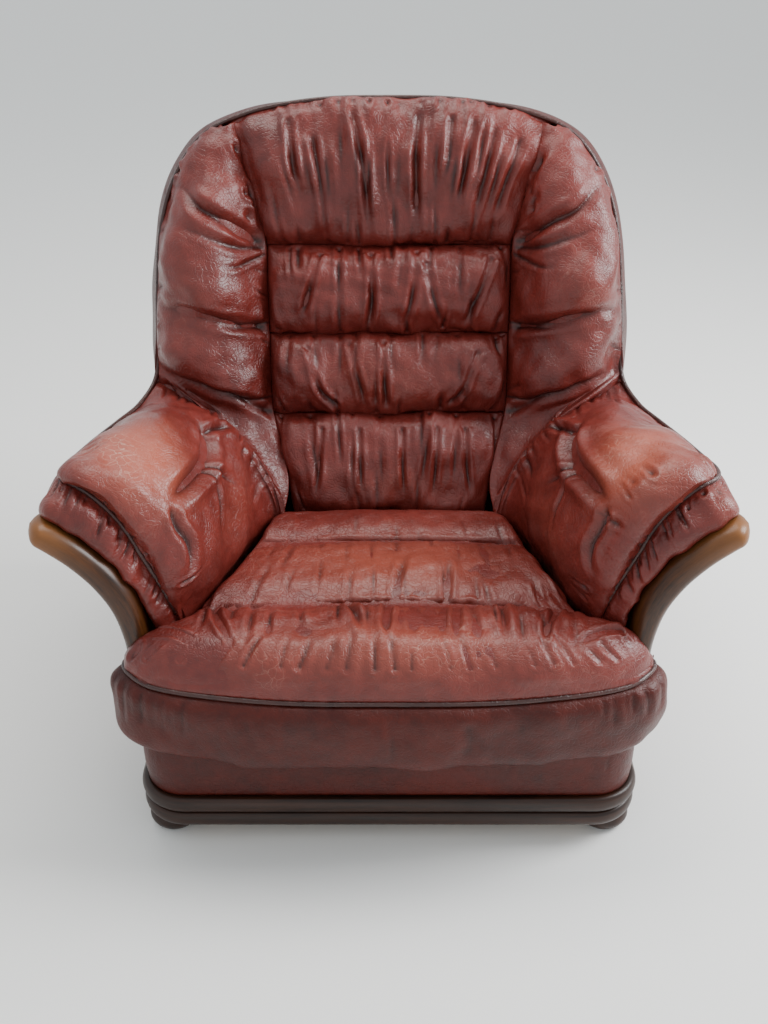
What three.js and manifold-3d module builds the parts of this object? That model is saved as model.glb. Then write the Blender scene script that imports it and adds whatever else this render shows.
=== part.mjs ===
// A worn club armchair, built as the real one is: a beech seat box on four turned bun feet with a
// double-beaded plinth round it, zigzag springs, an upright back frame with webbing, arm frames behind
// flared show-wood facings, and stuffed leather pads with piping over all of it.
// Millimetres. +Z is up, the sitter faces -Y, and +X is on the right of someone looking at the front.
// The origin is on the floor under the middle of the chair's box. "right" and "left" are as seen from
// the front. The leather pads are plain closed solids of the right size and place.
import * as THREE from "three";
import { mergeVertices } from "three/addons/utils/BufferGeometryUtils.js";
import Module from "manifold-3d";

const wasm = await Module();
wasm.setup();

// ---------- Driving dimensions ----------
const FRONT_Y = -450; // the seat cushion's front, and the back panel stands the same way behind
const REAR_Y = 450;
const HEIGHT = 1010; // to the middle of the piping at the top of the back
const FIT_GAP = 0.7; // clearance between soft neighbours
const SNUG_GAP = 1.4; // the same where a fitted edge is itself cut to shape
const TIMBER = 22; // thickness of the seat rails
const FOOT_HEIGHT = 38;
const FOOT_RADIUS = 41;
const FOOT_X = 350;
const FOOT_FRONT_Y = -340;
const FOOT_REAR_Y = 352;
const PLINTH_BASE = 39;
const PLINTH_TOP = 96;
const RAIL_TOP = 186;
const RAIL_OUT_X = 380; // outer face of the side rails
const RAIL_FRONT_Y = -386; // outer face of the front rail
const RAIL_REAR_Y = 404; // outer face of the rear rail
const PLINTH_THICK = 19;
const SEAT_BASE = 190;
const CORNER_RADIUS = 58; // of the seat box's front corners
const SEAT_TOP = 386;
const SEAT_WELT_Z = 310;
const PIPING_RADIUS = 4.2;
const PANEL_THICK = 5; // leather on board, outside arms and back
const CENTRE_HALF = 205; // half width of the tufted middle of the back

// ---------- Materials ----------
function finish(color, roughness, metalness = 0) {
  return new THREE.MeshStandardMaterial({ color, roughness, metalness });
}
const LEATHER = finish(0x7c3328, 0.42);
const PIPING = finish(0x6d2c23, 0.45);
const SHOW_WOOD = finish(0x4a2c17, 0.35);
const FRAME_WOOD = finish(0xc9a878, 0.7);
const STEEL = finish(0x8d9093, 0.4, 1);
const LINING = finish(0x2a2826, 0.95);
const FELT = finish(0x9a927f, 0.95);
const WEBBING = finish(0xb8a37a, 0.9);

// ---------- Geometry helpers ----------
const point = (x, y, z) => new THREE.Vector3(x, y, z);

// Merged, position-only copy of a geometry.
function bare(geometry) {
  const copy = geometry.clone();
  copy.deleteAttribute("normal");
  copy.deleteAttribute("uv");
  return mergeVertices(copy, 1e-3);
}

// Turns a closed geometry's faces outwards if its signed volume is negative.
function facingOut(geometry) {
  const p = geometry.attributes.position;
  const index = geometry.index.array;
  const [a, b, c] = [point(0, 0, 0), point(0, 0, 0), point(0, 0, 0)];
  let volume = 0;
  for (let i = 0; i < index.length; i += 3) {
    a.fromBufferAttribute(p, index[i]);
    b.fromBufferAttribute(p, index[i + 1]);
    c.fromBufferAttribute(p, index[i + 2]);
    volume += a.dot(b.cross(c));
  }
  if (volume < 0) {
    for (let i = 0; i < index.length; i += 3) [index[i], index[i + 1]] = [index[i + 1], index[i]];
  }
  return geometry;
}

// Triangles over a ring whose corners lie near one plane, wound the way the ring runs.
function capFaces(ring) {
  const normal = new THREE.Vector3();
  ring.forEach((p, i) => {
    const q = ring[(i + 1) % ring.length];
    normal.add(p.clone().cross(q));
  });
  const flat = new THREE.Quaternion().setFromUnitVectors(normal.normalize(), point(0, 0, 1));
  const outline = ring.map((p) => {
    const q = p.clone().applyQuaternion(flat);
    return new THREE.Vector2(q.x, q.y);
  });
  return THREE.ShapeUtils.triangulateShape(outline, []).map(([a, b, c]) => {
    const turn = THREE.ShapeUtils.area([outline[a], outline[b], outline[c]]);
    return turn > 0 ? [a, b, c] : [a, c, b];
  });
}

// Triangles over a ring made of a row and the same row again, set back and reversed.
function stripFaces(ring) {
  const last = ring.length - 1;
  const faces = [];
  for (let i = 0; i < ring.length / 2 - 1; i++) {
    faces.push([i, i + 1, last - i - 1], [i, last - i - 1, last - i]);
  }
  return faces;
}

// A closed solid through closed rings of equal length, closed at both ends.
function loft(rings, endFaces = capFaces) {
  const count = rings[0].length;
  const positions = [];
  const faces = [];
  rings.forEach((ring) => ring.forEach((p) => positions.push(p.x, p.y, p.z)));
  for (let r = 0; r < rings.length - 1; r++) {
    for (let i = 0; i < count; i++) {
      const j = (i + 1) % count;
      const [a, b, c, d] = [r * count + i, r * count + j, (r + 1) * count + i, (r + 1) * count + j];
      faces.push(a, b, d, a, d, c);
    }
  }
  const top = (rings.length - 1) * count;
  endFaces(rings[0]).forEach(([a, b, c]) => faces.push(a, c, b));
  endFaces(rings.at(-1)).forEach(([a, b, c]) => faces.push(top + a, top + b, top + c));
  const geometry = new THREE.BufferGeometry();
  geometry.setAttribute("position", new THREE.Float32BufferAttribute(positions, 3));
  geometry.setIndex(faces);
  return facingOut(geometry);
}

// A soft pad through stations: each station is a short list of control points, smoothed into a ring
// of `around` points, and `between` rings fill each gap from one station to the next.
function pad(stations, around = 16, between = 2) {
  const smooth = stations.map((controls) =>
    new THREE.CatmullRomCurve3(controls, true, "centripetal").getPoints(around).slice(0, around),
  );
  const rings = [];
  const total = (smooth.length - 1) * between;
  const tracks = smooth[0].map((_, i) =>
    new THREE.CatmullRomCurve3(smooth.map((ring) => ring[i]), false, "centripetal"),
  );
  for (let r = 0; r <= total; r++) rings.push(tracks.map((track) => track.getPoint(r / total)));
  return loft(rings);
}

// A thin sheet of even thickness over a grid of points: grid[row][column], thickened along the
// vector that `inward` gives for each point.
function sheet(grid, inward) {
  const rings = grid.map((row) => {
    const back = row.map((p) => p.clone().add(inward(p))).reverse();
    return [...row, ...back];
  });
  return loft(rings, stripFaces);
}

// A round cord along a smooth curve through the points.
function cord(points, radius, steps, sides = 6) {
  const section = new THREE.Shape();
  for (let i = 0; i < sides; i++) {
    const angle = (i / sides) * 2 * Math.PI;
    const [x, y] = [radius * Math.cos(angle), radius * Math.sin(angle)];
    if (i) section.lineTo(x, y);
    else section.moveTo(x, y);
  }
  const path = new THREE.CatmullRomCurve3(points, false, "centripetal");
  return new THREE.ExtrudeGeometry(section, { steps, extrudePath: path });
}

function box(x0, x1, y0, y1, z0, z1) {
  const geometry = new THREE.BoxGeometry(x1 - x0, y1 - y0, z1 - z0);
  return geometry.translate((x0 + x1) / 2, (y0 + y1) / 2, (z0 + z1) / 2);
}

function mirrored(geometry) {
  const copy = bare(geometry);
  copy.scale(-1, 1, 1);
  return facingOut(copy);
}

// ---------- Boolean helpers ----------
function solid(geometry) {
  const merged = bare(geometry);
  return new wasm.Manifold(
    new wasm.Mesh({
      numProp: 3,
      vertProperties: merged.attributes.position.array,
      triVerts: new Uint32Array(merged.index.array),
    }),
  );
}

function geometryOf(manifold) {
  const mesh = manifold.getMesh();
  const geometry = new THREE.BufferGeometry();
  geometry.setAttribute("position", new THREE.BufferAttribute(mesh.vertProperties, 3));
  geometry.setIndex(new THREE.BufferAttribute(mesh.triVerts, 1));
  return geometry;
}

// The same shape pushed out along its vertex normals.
function grown(geometry, by) {
  const merged = bare(geometry);
  merged.computeVertexNormals();
  const [p, n] = [merged.attributes.position, merged.attributes.normal];
  for (let i = 0; i < p.count; i++) {
    p.setXYZ(i, p.getX(i) + n.getX(i) * by, p.getY(i) + n.getY(i) * by, p.getZ(i) + n.getZ(i) * by);
  }
  return merged;
}

// The pad less its neighbours with a little room round them. Only the main body is kept.
function fitted(geometry, neighbours, room = FIT_GAP) {
  let left = solid(geometry);
  for (const other of neighbours) left = left.subtract(solid(other)).subtract(solid(grown(other, room)));
  const bodies = left.decompose().sort((a, b) => b.volume() - a.volume());
  return geometryOf(bodies[0]);
}

// ---------- The chair ----------
const chair = new THREE.Group();

function add(name, geometry, material) {
  const mesh = new THREE.Mesh(geometry, material);
  mesh.name = name;
  chair.add(mesh);
  return geometry;
}

function addPair(name, geometry, material) {
  add(name + "_right", geometry, material);
  add(name + "_left", mirrored(geometry), material);
}

// ---------- Feet: turned buns with a flat base, each on a bolt up into a corner block ----------
const BOLT_RADIUS = 4;
const BLOCK_HALF = 38;
const BLOCK_LONG = 75;
const BLOCK_REACH = 8; // of the front blocks past the rounded corner
const footProfile = [
  [0, 0],
  [27, 0],
  [36, 5],
  [FOOT_RADIUS, 18],
  [37, 31],
  [30, FOOT_HEIGHT],
  [0, FOOT_HEIGHT],
].map(([r, z]) => new THREE.Vector2(r, z));

// The quarter circle of a front corner, at a distance outside the rails' faces.
const CORNER_STEPS = 6;
function cornerArc(side, outside) {
  const arc = [];
  for (let i = 0; i <= CORNER_STEPS; i++) {
    const turn = (i / CORNER_STEPS) * (Math.PI / 2);
    const radius = CORNER_RADIUS + outside;
    arc.push([
      side * (RAIL_OUT_X - CORNER_RADIUS + radius * Math.cos(turn)),
      RAIL_FRONT_Y + CORNER_RADIUS - radius * Math.sin(turn),
    ]);
  }
  return arc;
}

function extruded(outline, low, high) {
  const shape = new THREE.Shape();
  outline.forEach(([x, y], i) => (i ? shape.lineTo(x, y) : shape.moveTo(x, y)));
  return new THREE.ExtrudeGeometry(shape, { depth: high - low, bevelEnabled: false }).translate(0, 0, low);
}

// The front blocks fill the rounded corners between the front and side rails.
const blockFrontOutline = [
  [RAIL_OUT_X, RAIL_FRONT_Y + CORNER_RADIUS + BLOCK_REACH],
  ...cornerArc(1, 0),
  [RAIL_OUT_X - CORNER_RADIUS - BLOCK_REACH, RAIL_FRONT_Y],
  [RAIL_OUT_X - CORNER_RADIUS - BLOCK_REACH, RAIL_FRONT_Y + TIMBER],
  [RAIL_OUT_X - TIMBER - 46, RAIL_FRONT_Y + CORNER_RADIUS + BLOCK_REACH],
];
const blockFront = extruded(blockFrontOutline, PLINTH_BASE, RAIL_TOP);
const blockRear = box(
  FOOT_X - BLOCK_HALF, RAIL_OUT_X - TIMBER - 0.5,
  RAIL_REAR_Y - TIMBER - 0.5 - BLOCK_LONG, RAIL_REAR_Y - TIMBER - 0.5,
  PLINTH_BASE, 92,
);
for (const [end, y, block] of [
  ["front", FOOT_FRONT_Y, blockFront],
  ["rear", FOOT_REAR_Y, blockRear],
]) {
  const bolt = new THREE.CylinderGeometry(BOLT_RADIUS, BOLT_RADIUS, 50, 10)
    .rotateX(Math.PI / 2)
    .translate(FOOT_X, y, 47);
  const foot = new THREE.LatheGeometry(footProfile, 18).rotateX(Math.PI / 2).translate(FOOT_X, y, 0);
  addPair(`foot_${end}`, fitted(foot, [bolt]), SHOW_WOOD);
  addPair(`foot_bolt_${end}`, bolt, STEEL);
  addPair(`corner_block_${end}`, fitted(block, [bolt]), FRAME_WOOD);
}

// ---------- Seat box: four beech rails ----------
const FRONT_RAIL_END = RAIL_OUT_X - CORNER_RADIUS - BLOCK_REACH - 0.4;
const railFront = box(
  -FRONT_RAIL_END, FRONT_RAIL_END, RAIL_FRONT_Y, RAIL_FRONT_Y + TIMBER, PLINTH_BASE, RAIL_TOP,
);
const railRear = box(-RAIL_OUT_X, RAIL_OUT_X, RAIL_REAR_Y - TIMBER, RAIL_REAR_Y, PLINTH_BASE, RAIL_TOP);
const railSide = box(
  RAIL_OUT_X - TIMBER, RAIL_OUT_X,
  RAIL_FRONT_Y + CORNER_RADIUS + BLOCK_REACH + 0.4, RAIL_REAR_Y - TIMBER - 0.5,
  PLINTH_BASE, RAIL_TOP,
);
add("seat_rail_front", railFront, FRAME_WOOD);
add("seat_rail_rear", railRear, FRAME_WOOD);
addPair("seat_rail", railSide, FRAME_WOOD);

// ---------- Plinth: a double-beaded moulding, its front piece turned round both corners ----------
const beadProfile = [
  [0, 0], [9, 0], [15, 4], [17.5, 13], [15, 23], [10.5, 27], [10.5, 30],
  [15, 33], [PLINTH_THICK, 43], [16, 53], [9, 58], [0, 58],
];

function beading(path, outward) {
  const rings = path.map((p, i) =>
    beadProfile.map(([out, up]) => p.clone().addScaledVector(outward(i), out).setZ(PLINTH_BASE + up)),
  );
  return loft(rings);
}

const PLINTH_IN_X = RAIL_OUT_X + 0.5;
const PLINTH_RETURN_Y = -300; // where the front piece ends and the side pieces begin
const frontLine = [
  [-PLINTH_IN_X, PLINTH_RETURN_Y],
  ...cornerArc(-1, 0.5),
  ...cornerArc(1, 0.5).reverse(),
  [PLINTH_IN_X, PLINTH_RETURN_Y],
];
function frontNormal(i) {
  const last = frontLine.length - 1;
  if (i === 0) return point(-1, 0, 0);
  if (i === last) return point(1, 0, 0);
  const [x, y] = frontLine[i];
  const side = Math.sign(x);
  return point(x - side * (RAIL_OUT_X - CORNER_RADIUS), y - (RAIL_FRONT_Y + CORNER_RADIUS), 0).normalize();
}
const plinthFront = beading(frontLine.map(([x, y]) => point(x, y, 0)), frontNormal);
add("plinth_front", plinthFront, SHOW_WOOD);
const sidePath = [point(PLINTH_IN_X, PLINTH_RETURN_Y + 0.5, 0), point(PLINTH_IN_X, RAIL_REAR_Y, 0)];
addPair("plinth", beading(sidePath, () => point(1, 0, 0)), SHOW_WOOD);
add(
  "plinth_rear",
  box(-RAIL_OUT_X - 0.3, RAIL_OUT_X + 0.3, RAIL_REAR_Y + 0.5, RAIL_REAR_Y + 14, PLINTH_BASE, PLINTH_TOP),
  SHOW_WOOD,
);

// ---------- Springing: five zigzag wires, with a felt pad over them and a lining beneath ----------
const SPRING_COUNT = 5;
const SPRING_SPACING = 120;
const SPRING_BENDS = 8;
const SPRING_SWING = 24;
const SPRING_FRONT_Y = RAIL_FRONT_Y + TIMBER + 3;
const SPRING_REAR_Y = RAIL_REAR_Y - TIMBER - 3;
for (let s = 0; s < SPRING_COUNT; s++) {
  const x = (s - (SPRING_COUNT - 1) / 2) * SPRING_SPACING;
  const wire = [];
  for (let i = 0; i <= SPRING_BENDS * 2; i++) {
    const t = i / (SPRING_BENDS * 2);
    wire.push(
      point(
        x + SPRING_SWING * Math.sin(t * SPRING_BENDS * Math.PI),
        SPRING_FRONT_Y + t * (SPRING_REAR_Y - SPRING_FRONT_Y),
        162 + 16 * Math.sin(t * Math.PI),
      ),
    );
  }
  add(`seat_spring_${s + 1}`, cord(wire, 2, 34, 4), STEEL);
}
add("spring_felt", box(-300, 300, -357, 376, 181, 185), FELT);
add("bottom_lining", box(-300, 300, -363, 381, 93, 95), LINING);

// ---------- Seat cushion: a T-shaped boxed cushion whose ears lie in front of the arms ----------
const seatOutline = [
  [0, FRONT_Y], [150, -446], [280, -427], [368, -402], [412, -366], [425, -335],
  [404, -317], [352, -306], [322, -290], [296, -240], [266, -165], [240, -80], [218, 0],
  [190, 26], [95, 30],
];
const seatLoop = [
  ...seatOutline.map(([x, y]) => point(x, y, 0)),
  point(0, 31, 0),
  ...seatOutline.slice(1).reverse().map(([x, y]) => point(-x, y, 0)),
];

// A point t of the way round the cushion's outline, drawn in towards its middle by inset.
const seatCurve = new THREE.CatmullRomCurve3(seatLoop, true, "centripetal");
function seatPoint(t, inset, z) {
  const p = seatCurve.getPoint((t + 1) % 1);
  const middle = point(p.x * 0.45, Math.min(Math.max(p.y, -250), -100), 0);
  return p.clone().addScaledVector(middle.sub(p).normalize(), inset).setZ(z);
}

function seatRing(inset, z) {
  const SAMPLES = 44;
  return Array.from({ length: SAMPLES }, (_, i) => seatPoint(i / SAMPLES, inset, z));
}
const seatLayers = [
  [15, SEAT_BASE], [5, SEAT_BASE + 8], [0, 215], [0, 255], [6, 285],
  [29, 302], [29.5, 318], [33, 346], [43, 366], [56, 379],
];
const seatRaw = loft(seatLayers.map(([inset, z]) => seatRing(inset, z)));
// The piping runs from the tip of one ear, round the front, to the tip of the other.
const EAR_TIP = 5.3 / seatLoop.length;
const WELT_INSET = 23;
const seatWeltLine = [];
for (let i = -8; i <= 8; i++) seatWeltLine.push(seatPoint((i / 8) * EAR_TIP, WELT_INSET, SEAT_WELT_Z));
const seatWelt = cord(seatWeltLine, PIPING_RADIUS, 34, 5);
const seat = fitted(seatRaw, [seatWelt]);
add("seat_cushion", seat, LEATHER);
add("seat_piping", seatWelt, PIPING);

// ---------- Front apron: leather over the front rail, between the cushion and the plinth ----------
const APRON_END_Y = -312;
const apronOuter = [
  [-RAIL_OUT_X - 8, APRON_END_Y], ...cornerArc(-1, 8), ...cornerArc(1, 8).reverse(),
  [RAIL_OUT_X + 8, APRON_END_Y],
];
const apronInner = [
  [RAIL_OUT_X + 0.6, APRON_END_Y], ...cornerArc(1, 0.6), ...cornerArc(-1, 0.6).reverse(),
  [-RAIL_OUT_X - 0.6, APRON_END_Y],
];
const apron = extruded([...apronOuter, ...apronInner], PLINTH_TOP + 2, SEAT_BASE - 1.5);
add("front_apron", apron, LEATHER);

// ---------- Shell piping: one cord from the foot of one arm, round the back, to the other ----------
const shellLine = [
  [0, 300, HEIGHT], [118, 298, 1007], [230, 291, 989], [312, 278, 954], [362, 254, 890],
  [388, 224, 812], [398, 190, 715], [400, 155, 632], [404, 122, 578], [424, 64, 556],
  [448, 2, 554], [468, -80, 563], [480, -155, 574], [487, -218, 585], [478, -250, 588],
  [452, -267, 583], [426, -275, 566], [402, -280, 541], [384, -283, 512], [372, -285, 484],
  [356, -286, 450], [340, -287, 414], [326, -287, 372],
].map((p) => point(...p));
const shellWelt = cord(
  [...shellLine.slice(1).reverse().map((p) => point(-p.x, p.y, p.z)), ...shellLine],
  PIPING_RADIUS, 84, 5,
);
add("shell_piping", shellWelt, PIPING);

// ---------- Arm facing: the flared show-wood front of each arm ----------
// Rows: middle of the wood in x and z, and its width across the face. The grain runs up the sweep.
const FACING_FRONT_Y = -334;
const FACING_BACK_Y = -262;
const facingSweep = [
  [383, 100, 34], [381, 210, 36], [381, 300, 38], [384, 352, 40], [396, 408, 43], [421, 456, 45],
  [454, 494, 44], [487, 521, 42], [508, 534, 37], [521, 541, 26],
];
const facingCurve = new THREE.CatmullRomCurve3(
  facingSweep.map(([x, z]) => point(x, 0, z)), false, "centripetal",
);
const facingRings = facingSweep.map(([x, z, width], i) => {
  const way = facingCurve.getTangent(i / (facingSweep.length - 1));
  const across = point(-way.z, 0, way.x);
  const taper = width / 45;
  const middleY = (FACING_FRONT_Y + FACING_BACK_Y) / 2;
  const halfDepth = ((FACING_BACK_Y - FACING_FRONT_Y) / 2) * Math.min(1, taper * 1.15);
  const ring = [];
  const SIDES = 14;
  for (let k = 0; k < SIDES; k++) {
    const angle = (k / SIDES) * 2 * Math.PI;
    const [c, s] = [Math.cos(angle), Math.sin(angle)];
    // a superellipse: a rounded rectangle
    const u = Math.sign(c) * Math.abs(c) ** 0.62 * (width / 2);
    const v = Math.sign(s) * Math.abs(s) ** 0.62 * halfDepth;
    ring.push(point(x, middleY + v, z).addScaledVector(across, u));
  }
  return ring;
});
const noseMiddle = point(527, (FACING_FRONT_Y + FACING_BACK_Y) / 2, 544);
const noseRing = facingRings.at(-1).map((p) => p.clone().lerp(noseMiddle, 0.55).setX(p.x * 0.35 + 529 * 0.65));
facingRings.push(noseRing);
// The facing's foot stands on the plinth and is let round the side rail and the apron's return.
const facing = fitted(
  loft(facingRings), [blockFront, railSide, seatRaw, seatWelt, apron, shellWelt], 0.5,
);

// ---------- Arm frame: a front post behind the facing and a rail under the arm's outer rim ----------
const postOutline = new THREE.Shape();
[
  [330, 192], [362, 192], [362, 352], [374, 408], [398, 452], [430, 486], [452, 508],
  [440, 528], [408, 500], [372, 455], [346, 400], [336, 350],
].forEach(([x, z], i) => (i ? postOutline.lineTo(x, z) : postOutline.moveTo(x, z)));
const POST_Y = -262;
const armPost = new THREE.ExtrudeGeometry(postOutline, { depth: 26, bevelEnabled: false })
  .rotateX(Math.PI / 2)
  .translate(0, POST_Y + 26, 0);
const armRail = loft(
  [
    [456, -235, 528], [446, -80, 520], [424, 20, 512], [386, 92, 508], [368, 160, 508], [368, 372, 508],
  ].map(([x, y, z]) => [
    point(x - 15, y, z - 14), point(x + 15, y, z - 14), point(x + 15, y, z + 14), point(x - 15, y, z + 14),
  ]),
);

// ---------- Arm pad: the stuffed roll and inside of each arm ----------
const armStations = [
  [-279, [[476, 582], [440, 568], [404, 534], [370, 476], [340, 406], [330, 360], [350, 356], [384, 440], [440, 520]]],
  [-262, [[484, 588], [450, 600], [402, 580], [352, 530], [312, 460], [296, 385], [330, 348], [384, 440], [470, 532]]],
  [-225, [[488, 588], [456, 602], [406, 600], [342, 566], [290, 480], [274, 390], [320, 340], [384, 440], [474, 534]]],
  [-150, [[483, 575], [450, 594], [394, 601], [322, 572], [266, 480], [245, 385], [300, 330], [376, 430], [468, 530]]],
  [-60, [[468, 561], [432, 580], [374, 594], [302, 568], [246, 480], [214, 380], [280, 325], [366, 420], [452, 520]]],
  [20, [[446, 552], [408, 568], [352, 580], [286, 552], [228, 470], [192, 372], [270, 322], [350, 410], [428, 510]]],
  [88, [[411, 554], [382, 566], [336, 570], [280, 536], [232, 452], [200, 365], [270, 322], [336, 400], [390, 500]]],
];
const armRaw = pad(
  armStations.map(([y, controls]) => controls.map(([x, z]) => point(x, y, z))), 15, 1,
);
const armPad = fitted(armRaw, [seatRaw, shellWelt, armPost, armRail, facing]);
addPair("arm_facing", facing, SHOW_WOOD);
addPair("arm_post", fitted(armPost, [railSide], 0.4), FRAME_WOOD);
addPair("arm_pad", armPad, LEATHER);

// ---------- Arm front: the leather panel between the piping and the facing ----------
const frontShape = new THREE.Shape();
[
  [322, 352], [336, 416], [356, 460], [374, 502], [400, 542], [436, 574], [478, 592], [492, 578],
  [497, 552], [470, 534], [430, 500], [398, 456], [374, 408], [362, 352], [362, 330], [330, 330],
].forEach(([x, z], i) => (i ? frontShape.lineTo(x, z) : frontShape.moveTo(x, z)));
const armFront = new THREE.ExtrudeGeometry(frontShape, { depth: 14, bevelEnabled: false })
  .rotateX(Math.PI / 2)
  .translate(0, -276, 0);
addPair(
  "arm_front_panel",
  fitted(armFront, [facing, shellWelt, armPad, seatRaw, armPost, railSide], SNUG_GAP),
  LEATHER,
);

// ---------- Outside arm: leather on board, from the plinth up to the piping ----------
const outerStations = [
  [-258, [[391, 98], [391, 250], [394, 340], [406, 404], [430, 452], [461, 496], [487, 528], [494, 558], [491, 580]]],
  [-180, [[391, 98], [391, 250], [394, 340], [406, 404], [430, 452], [461, 496], [485, 524], [490, 548], [485, 568]]],
  [-80, [[391, 98], [391, 250], [394, 340], [404, 404], [426, 452], [451, 490], [470, 514], [476, 537], [472, 556]]],
  [0, [[391, 98], [391, 250], [394, 340], [402, 404], [418, 452], [437, 484], [453, 506], [458, 528], [454, 547]]],
  [68, [[391, 98], [391, 250], [394, 340], [400, 404], [408, 448], [417, 476], [427, 500], [431, 522], [428, 547]]],
  [112, [[391, 98], [391, 250], [393, 340], [396, 404], [399, 446], [402, 476], [405, 504], [407, 530], [409, 556]]],
];
const outerGrid = outerStations.map(([y, line]) => line.map(([x, z]) => point(x, y, z)));
const outerArm = fitted(
  sheet(outerGrid, (p) => point(-PANEL_THICK, 0, p.z > 400 ? PANEL_THICK * 0.6 : 0)),
  [facing, shellWelt, armPad, armFront, armRail, armPost],
);
addPair("arm_outer_panel", outerArm, LEATHER);

// ---------- Outside back: side bands, a top band and the rear panel ----------
// Rows: front edge, the fullest part and the rear edge of the band, in x, y, z.
const sideBand = [
  [[391, 113, 98], [401, 280, 98], [381, 424, 98]],
  [[392, 113, 300], [410, 285, 300], [388, 436, 300]],
  [[398, 116, 460], [424, 290, 470], [398, 442, 470]],
  [[407, 122, 566], [431, 293, 580], [401, 443, 580]],
  [[405, 152, 640], [428, 303, 660], [396, 443, 655]],
  [[403, 190, 718], [418, 318, 740], [384, 439, 732]],
  [[393, 224, 816], [398, 330, 830], [362, 430, 812]],
  [[367, 254, 894], [368, 340, 902], [334, 420, 872]],
];
const topBand = [
  [[365, 257, 897], [366, 342, 905], [332, 419, 875]],
  [[316, 278, 958], [314, 350, 956], [280, 416, 914]],
  [[232, 291, 994], [228, 356, 988], [200, 415, 938]],
  [[118, 298, 1011.5], [116, 360, 1001], [102, 415, 946]],
  [[0, 300, 1014.5], [0, 361, 1004], [0, 415, 948]],
];
const topBandWhole = [
  ...topBand,
  ...topBand.slice(0, -1).reverse().map((row) => row.map(([x, y, z]) => [-x, y, z])),
];

// One band: each row's three points become a smooth strip, thickened towards the chair's middle.
function band(rows, middle) {
  const grid = rows.map((row) =>
    new THREE.CatmullRomCurve3(row.map((p) => point(...p))).getPoints(4),
  );
  return sheet(grid, (p) => {
    const inward = point(middle[0] - p.x, 0, Math.max(middle[1] - p.z, -400) * (p.z > middle[1] ? 1 : 0));
    return inward.normalize().multiplyScalar(PANEL_THICK);
  });
}
const BAND_MIDDLE = [0, 700];
const bandSide = fitted(band(sideBand, BAND_MIDDLE), [shellWelt, armPad, railSide, railRear, armRail]);
const bandTop = fitted(band(topBandWhole, BAND_MIDDLE), [shellWelt, bandSide, mirrored(bandSide)]);
addPair("back_band", bandSide, LEATHER);
add("back_band_top", bandTop, LEATHER);

// The rear panel: an arched sheet, a little fuller in the middle than at its edges.
function rearY(z) {
  const drop = z < 560 ? (560 - z) / 460 : (z - 560) / 390;
  return REAR_Y - PIPING_RADIUS * 0.4 - (z < 560 ? 18 : 31) * drop * drop;
}
const rearRows = [
  [98, 378], [200, 383], [320, 389], [450, 394], [580, 396], [660, 393], [740, 378], [812, 356],
  [860, 328], [893, 288], [914, 232], [926, 168], [930, 100],
];
const rearGrid = rearRows.map(([z, half]) => {
  const row = [];
  const COLUMNS = 6;
  for (let c = 0; c <= COLUMNS; c++) {
    const s = (c / COLUMNS) * 2 - 1;
    row.push(point(s * half, rearY(z) - 1 - 7 * s ** 4, z));
  }
  return row;
});
const rearPanel = fitted(
  sheet(rearGrid, () => point(0, -PANEL_THICK, 0)),
  [bandSide, mirrored(bandSide), bandTop, railRear],
  SNUG_GAP,
);
add("outside_back_panel", rearPanel, LEATHER);

// ---------- Back frame: two posts, an arched top rail, a lower rail and three webs ----------
const POST_IN_X = 330;
const POST_OUT_X = 358;
const POST_FRONT_Y = 386;
const POST_REAR_Y = 412;
const backPost = box(POST_IN_X, POST_OUT_X, POST_FRONT_Y, POST_REAR_Y, RAIL_TOP + 1, 800);
const archShape = new THREE.Shape();
[
  [-356, 802], [-300, 802], [-270, 838], [-160, 868], [0, 876], [160, 868], [270, 838], [300, 802],
  [356, 802], [326, 862], [262, 902], [150, 922], [0, 928], [-150, 922], [-262, 902], [-326, 862],
].forEach(([x, z], i) => (i ? archShape.lineTo(x, z) : archShape.moveTo(x, z)));
const topRail = new THREE.ExtrudeGeometry(archShape, { depth: 22, bevelEnabled: false })
  .rotateX(Math.PI / 2)
  .translate(0, POST_REAR_Y - 4, 0);
const lowRail = box(-POST_IN_X + 0.5, POST_IN_X - 0.5, POST_FRONT_Y, POST_REAR_Y, 330, 375);
addPair("back_post", backPost, FRAME_WOOD);
add("back_top_rail", topRail, FRAME_WOOD);
add("back_low_rail", lowRail, FRAME_WOOD);
const webHeights = [480, 600, 720];
const webs = webHeights.map((z) =>
  box(-POST_OUT_X, POST_OUT_X, POST_FRONT_Y - 3, POST_FRONT_Y - 0.5, z - 25, z + 25),
);
webs.forEach((web, i) => add(`back_web_${i + 1}`, web, WEBBING));

// ---------- Inside back: four stuffed rolls between the wings ----------
// Rows: height and depth of the crease below, of the crease above, and how far the roll swells.
const rolls = {
  back_base_roll: { low: [352, 34], high: [512, 119], swell: 26, halfLow: 168, halfHigh: 202 },
  back_lower_roll: { low: [514, 121], high: [640, 171], swell: 34, halfLow: 202, halfHigh: 205 },
  back_upper_roll: { low: [642, 173], high: [782, 221], swell: 36, halfLow: 205, halfHigh: 208 },
  back_head_roll: { low: [784, 223], high: [1002, 300], swell: 40, halfLow: 209, halfHigh: 250 },
};
const ROLL_DEPTH = 92;

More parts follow.
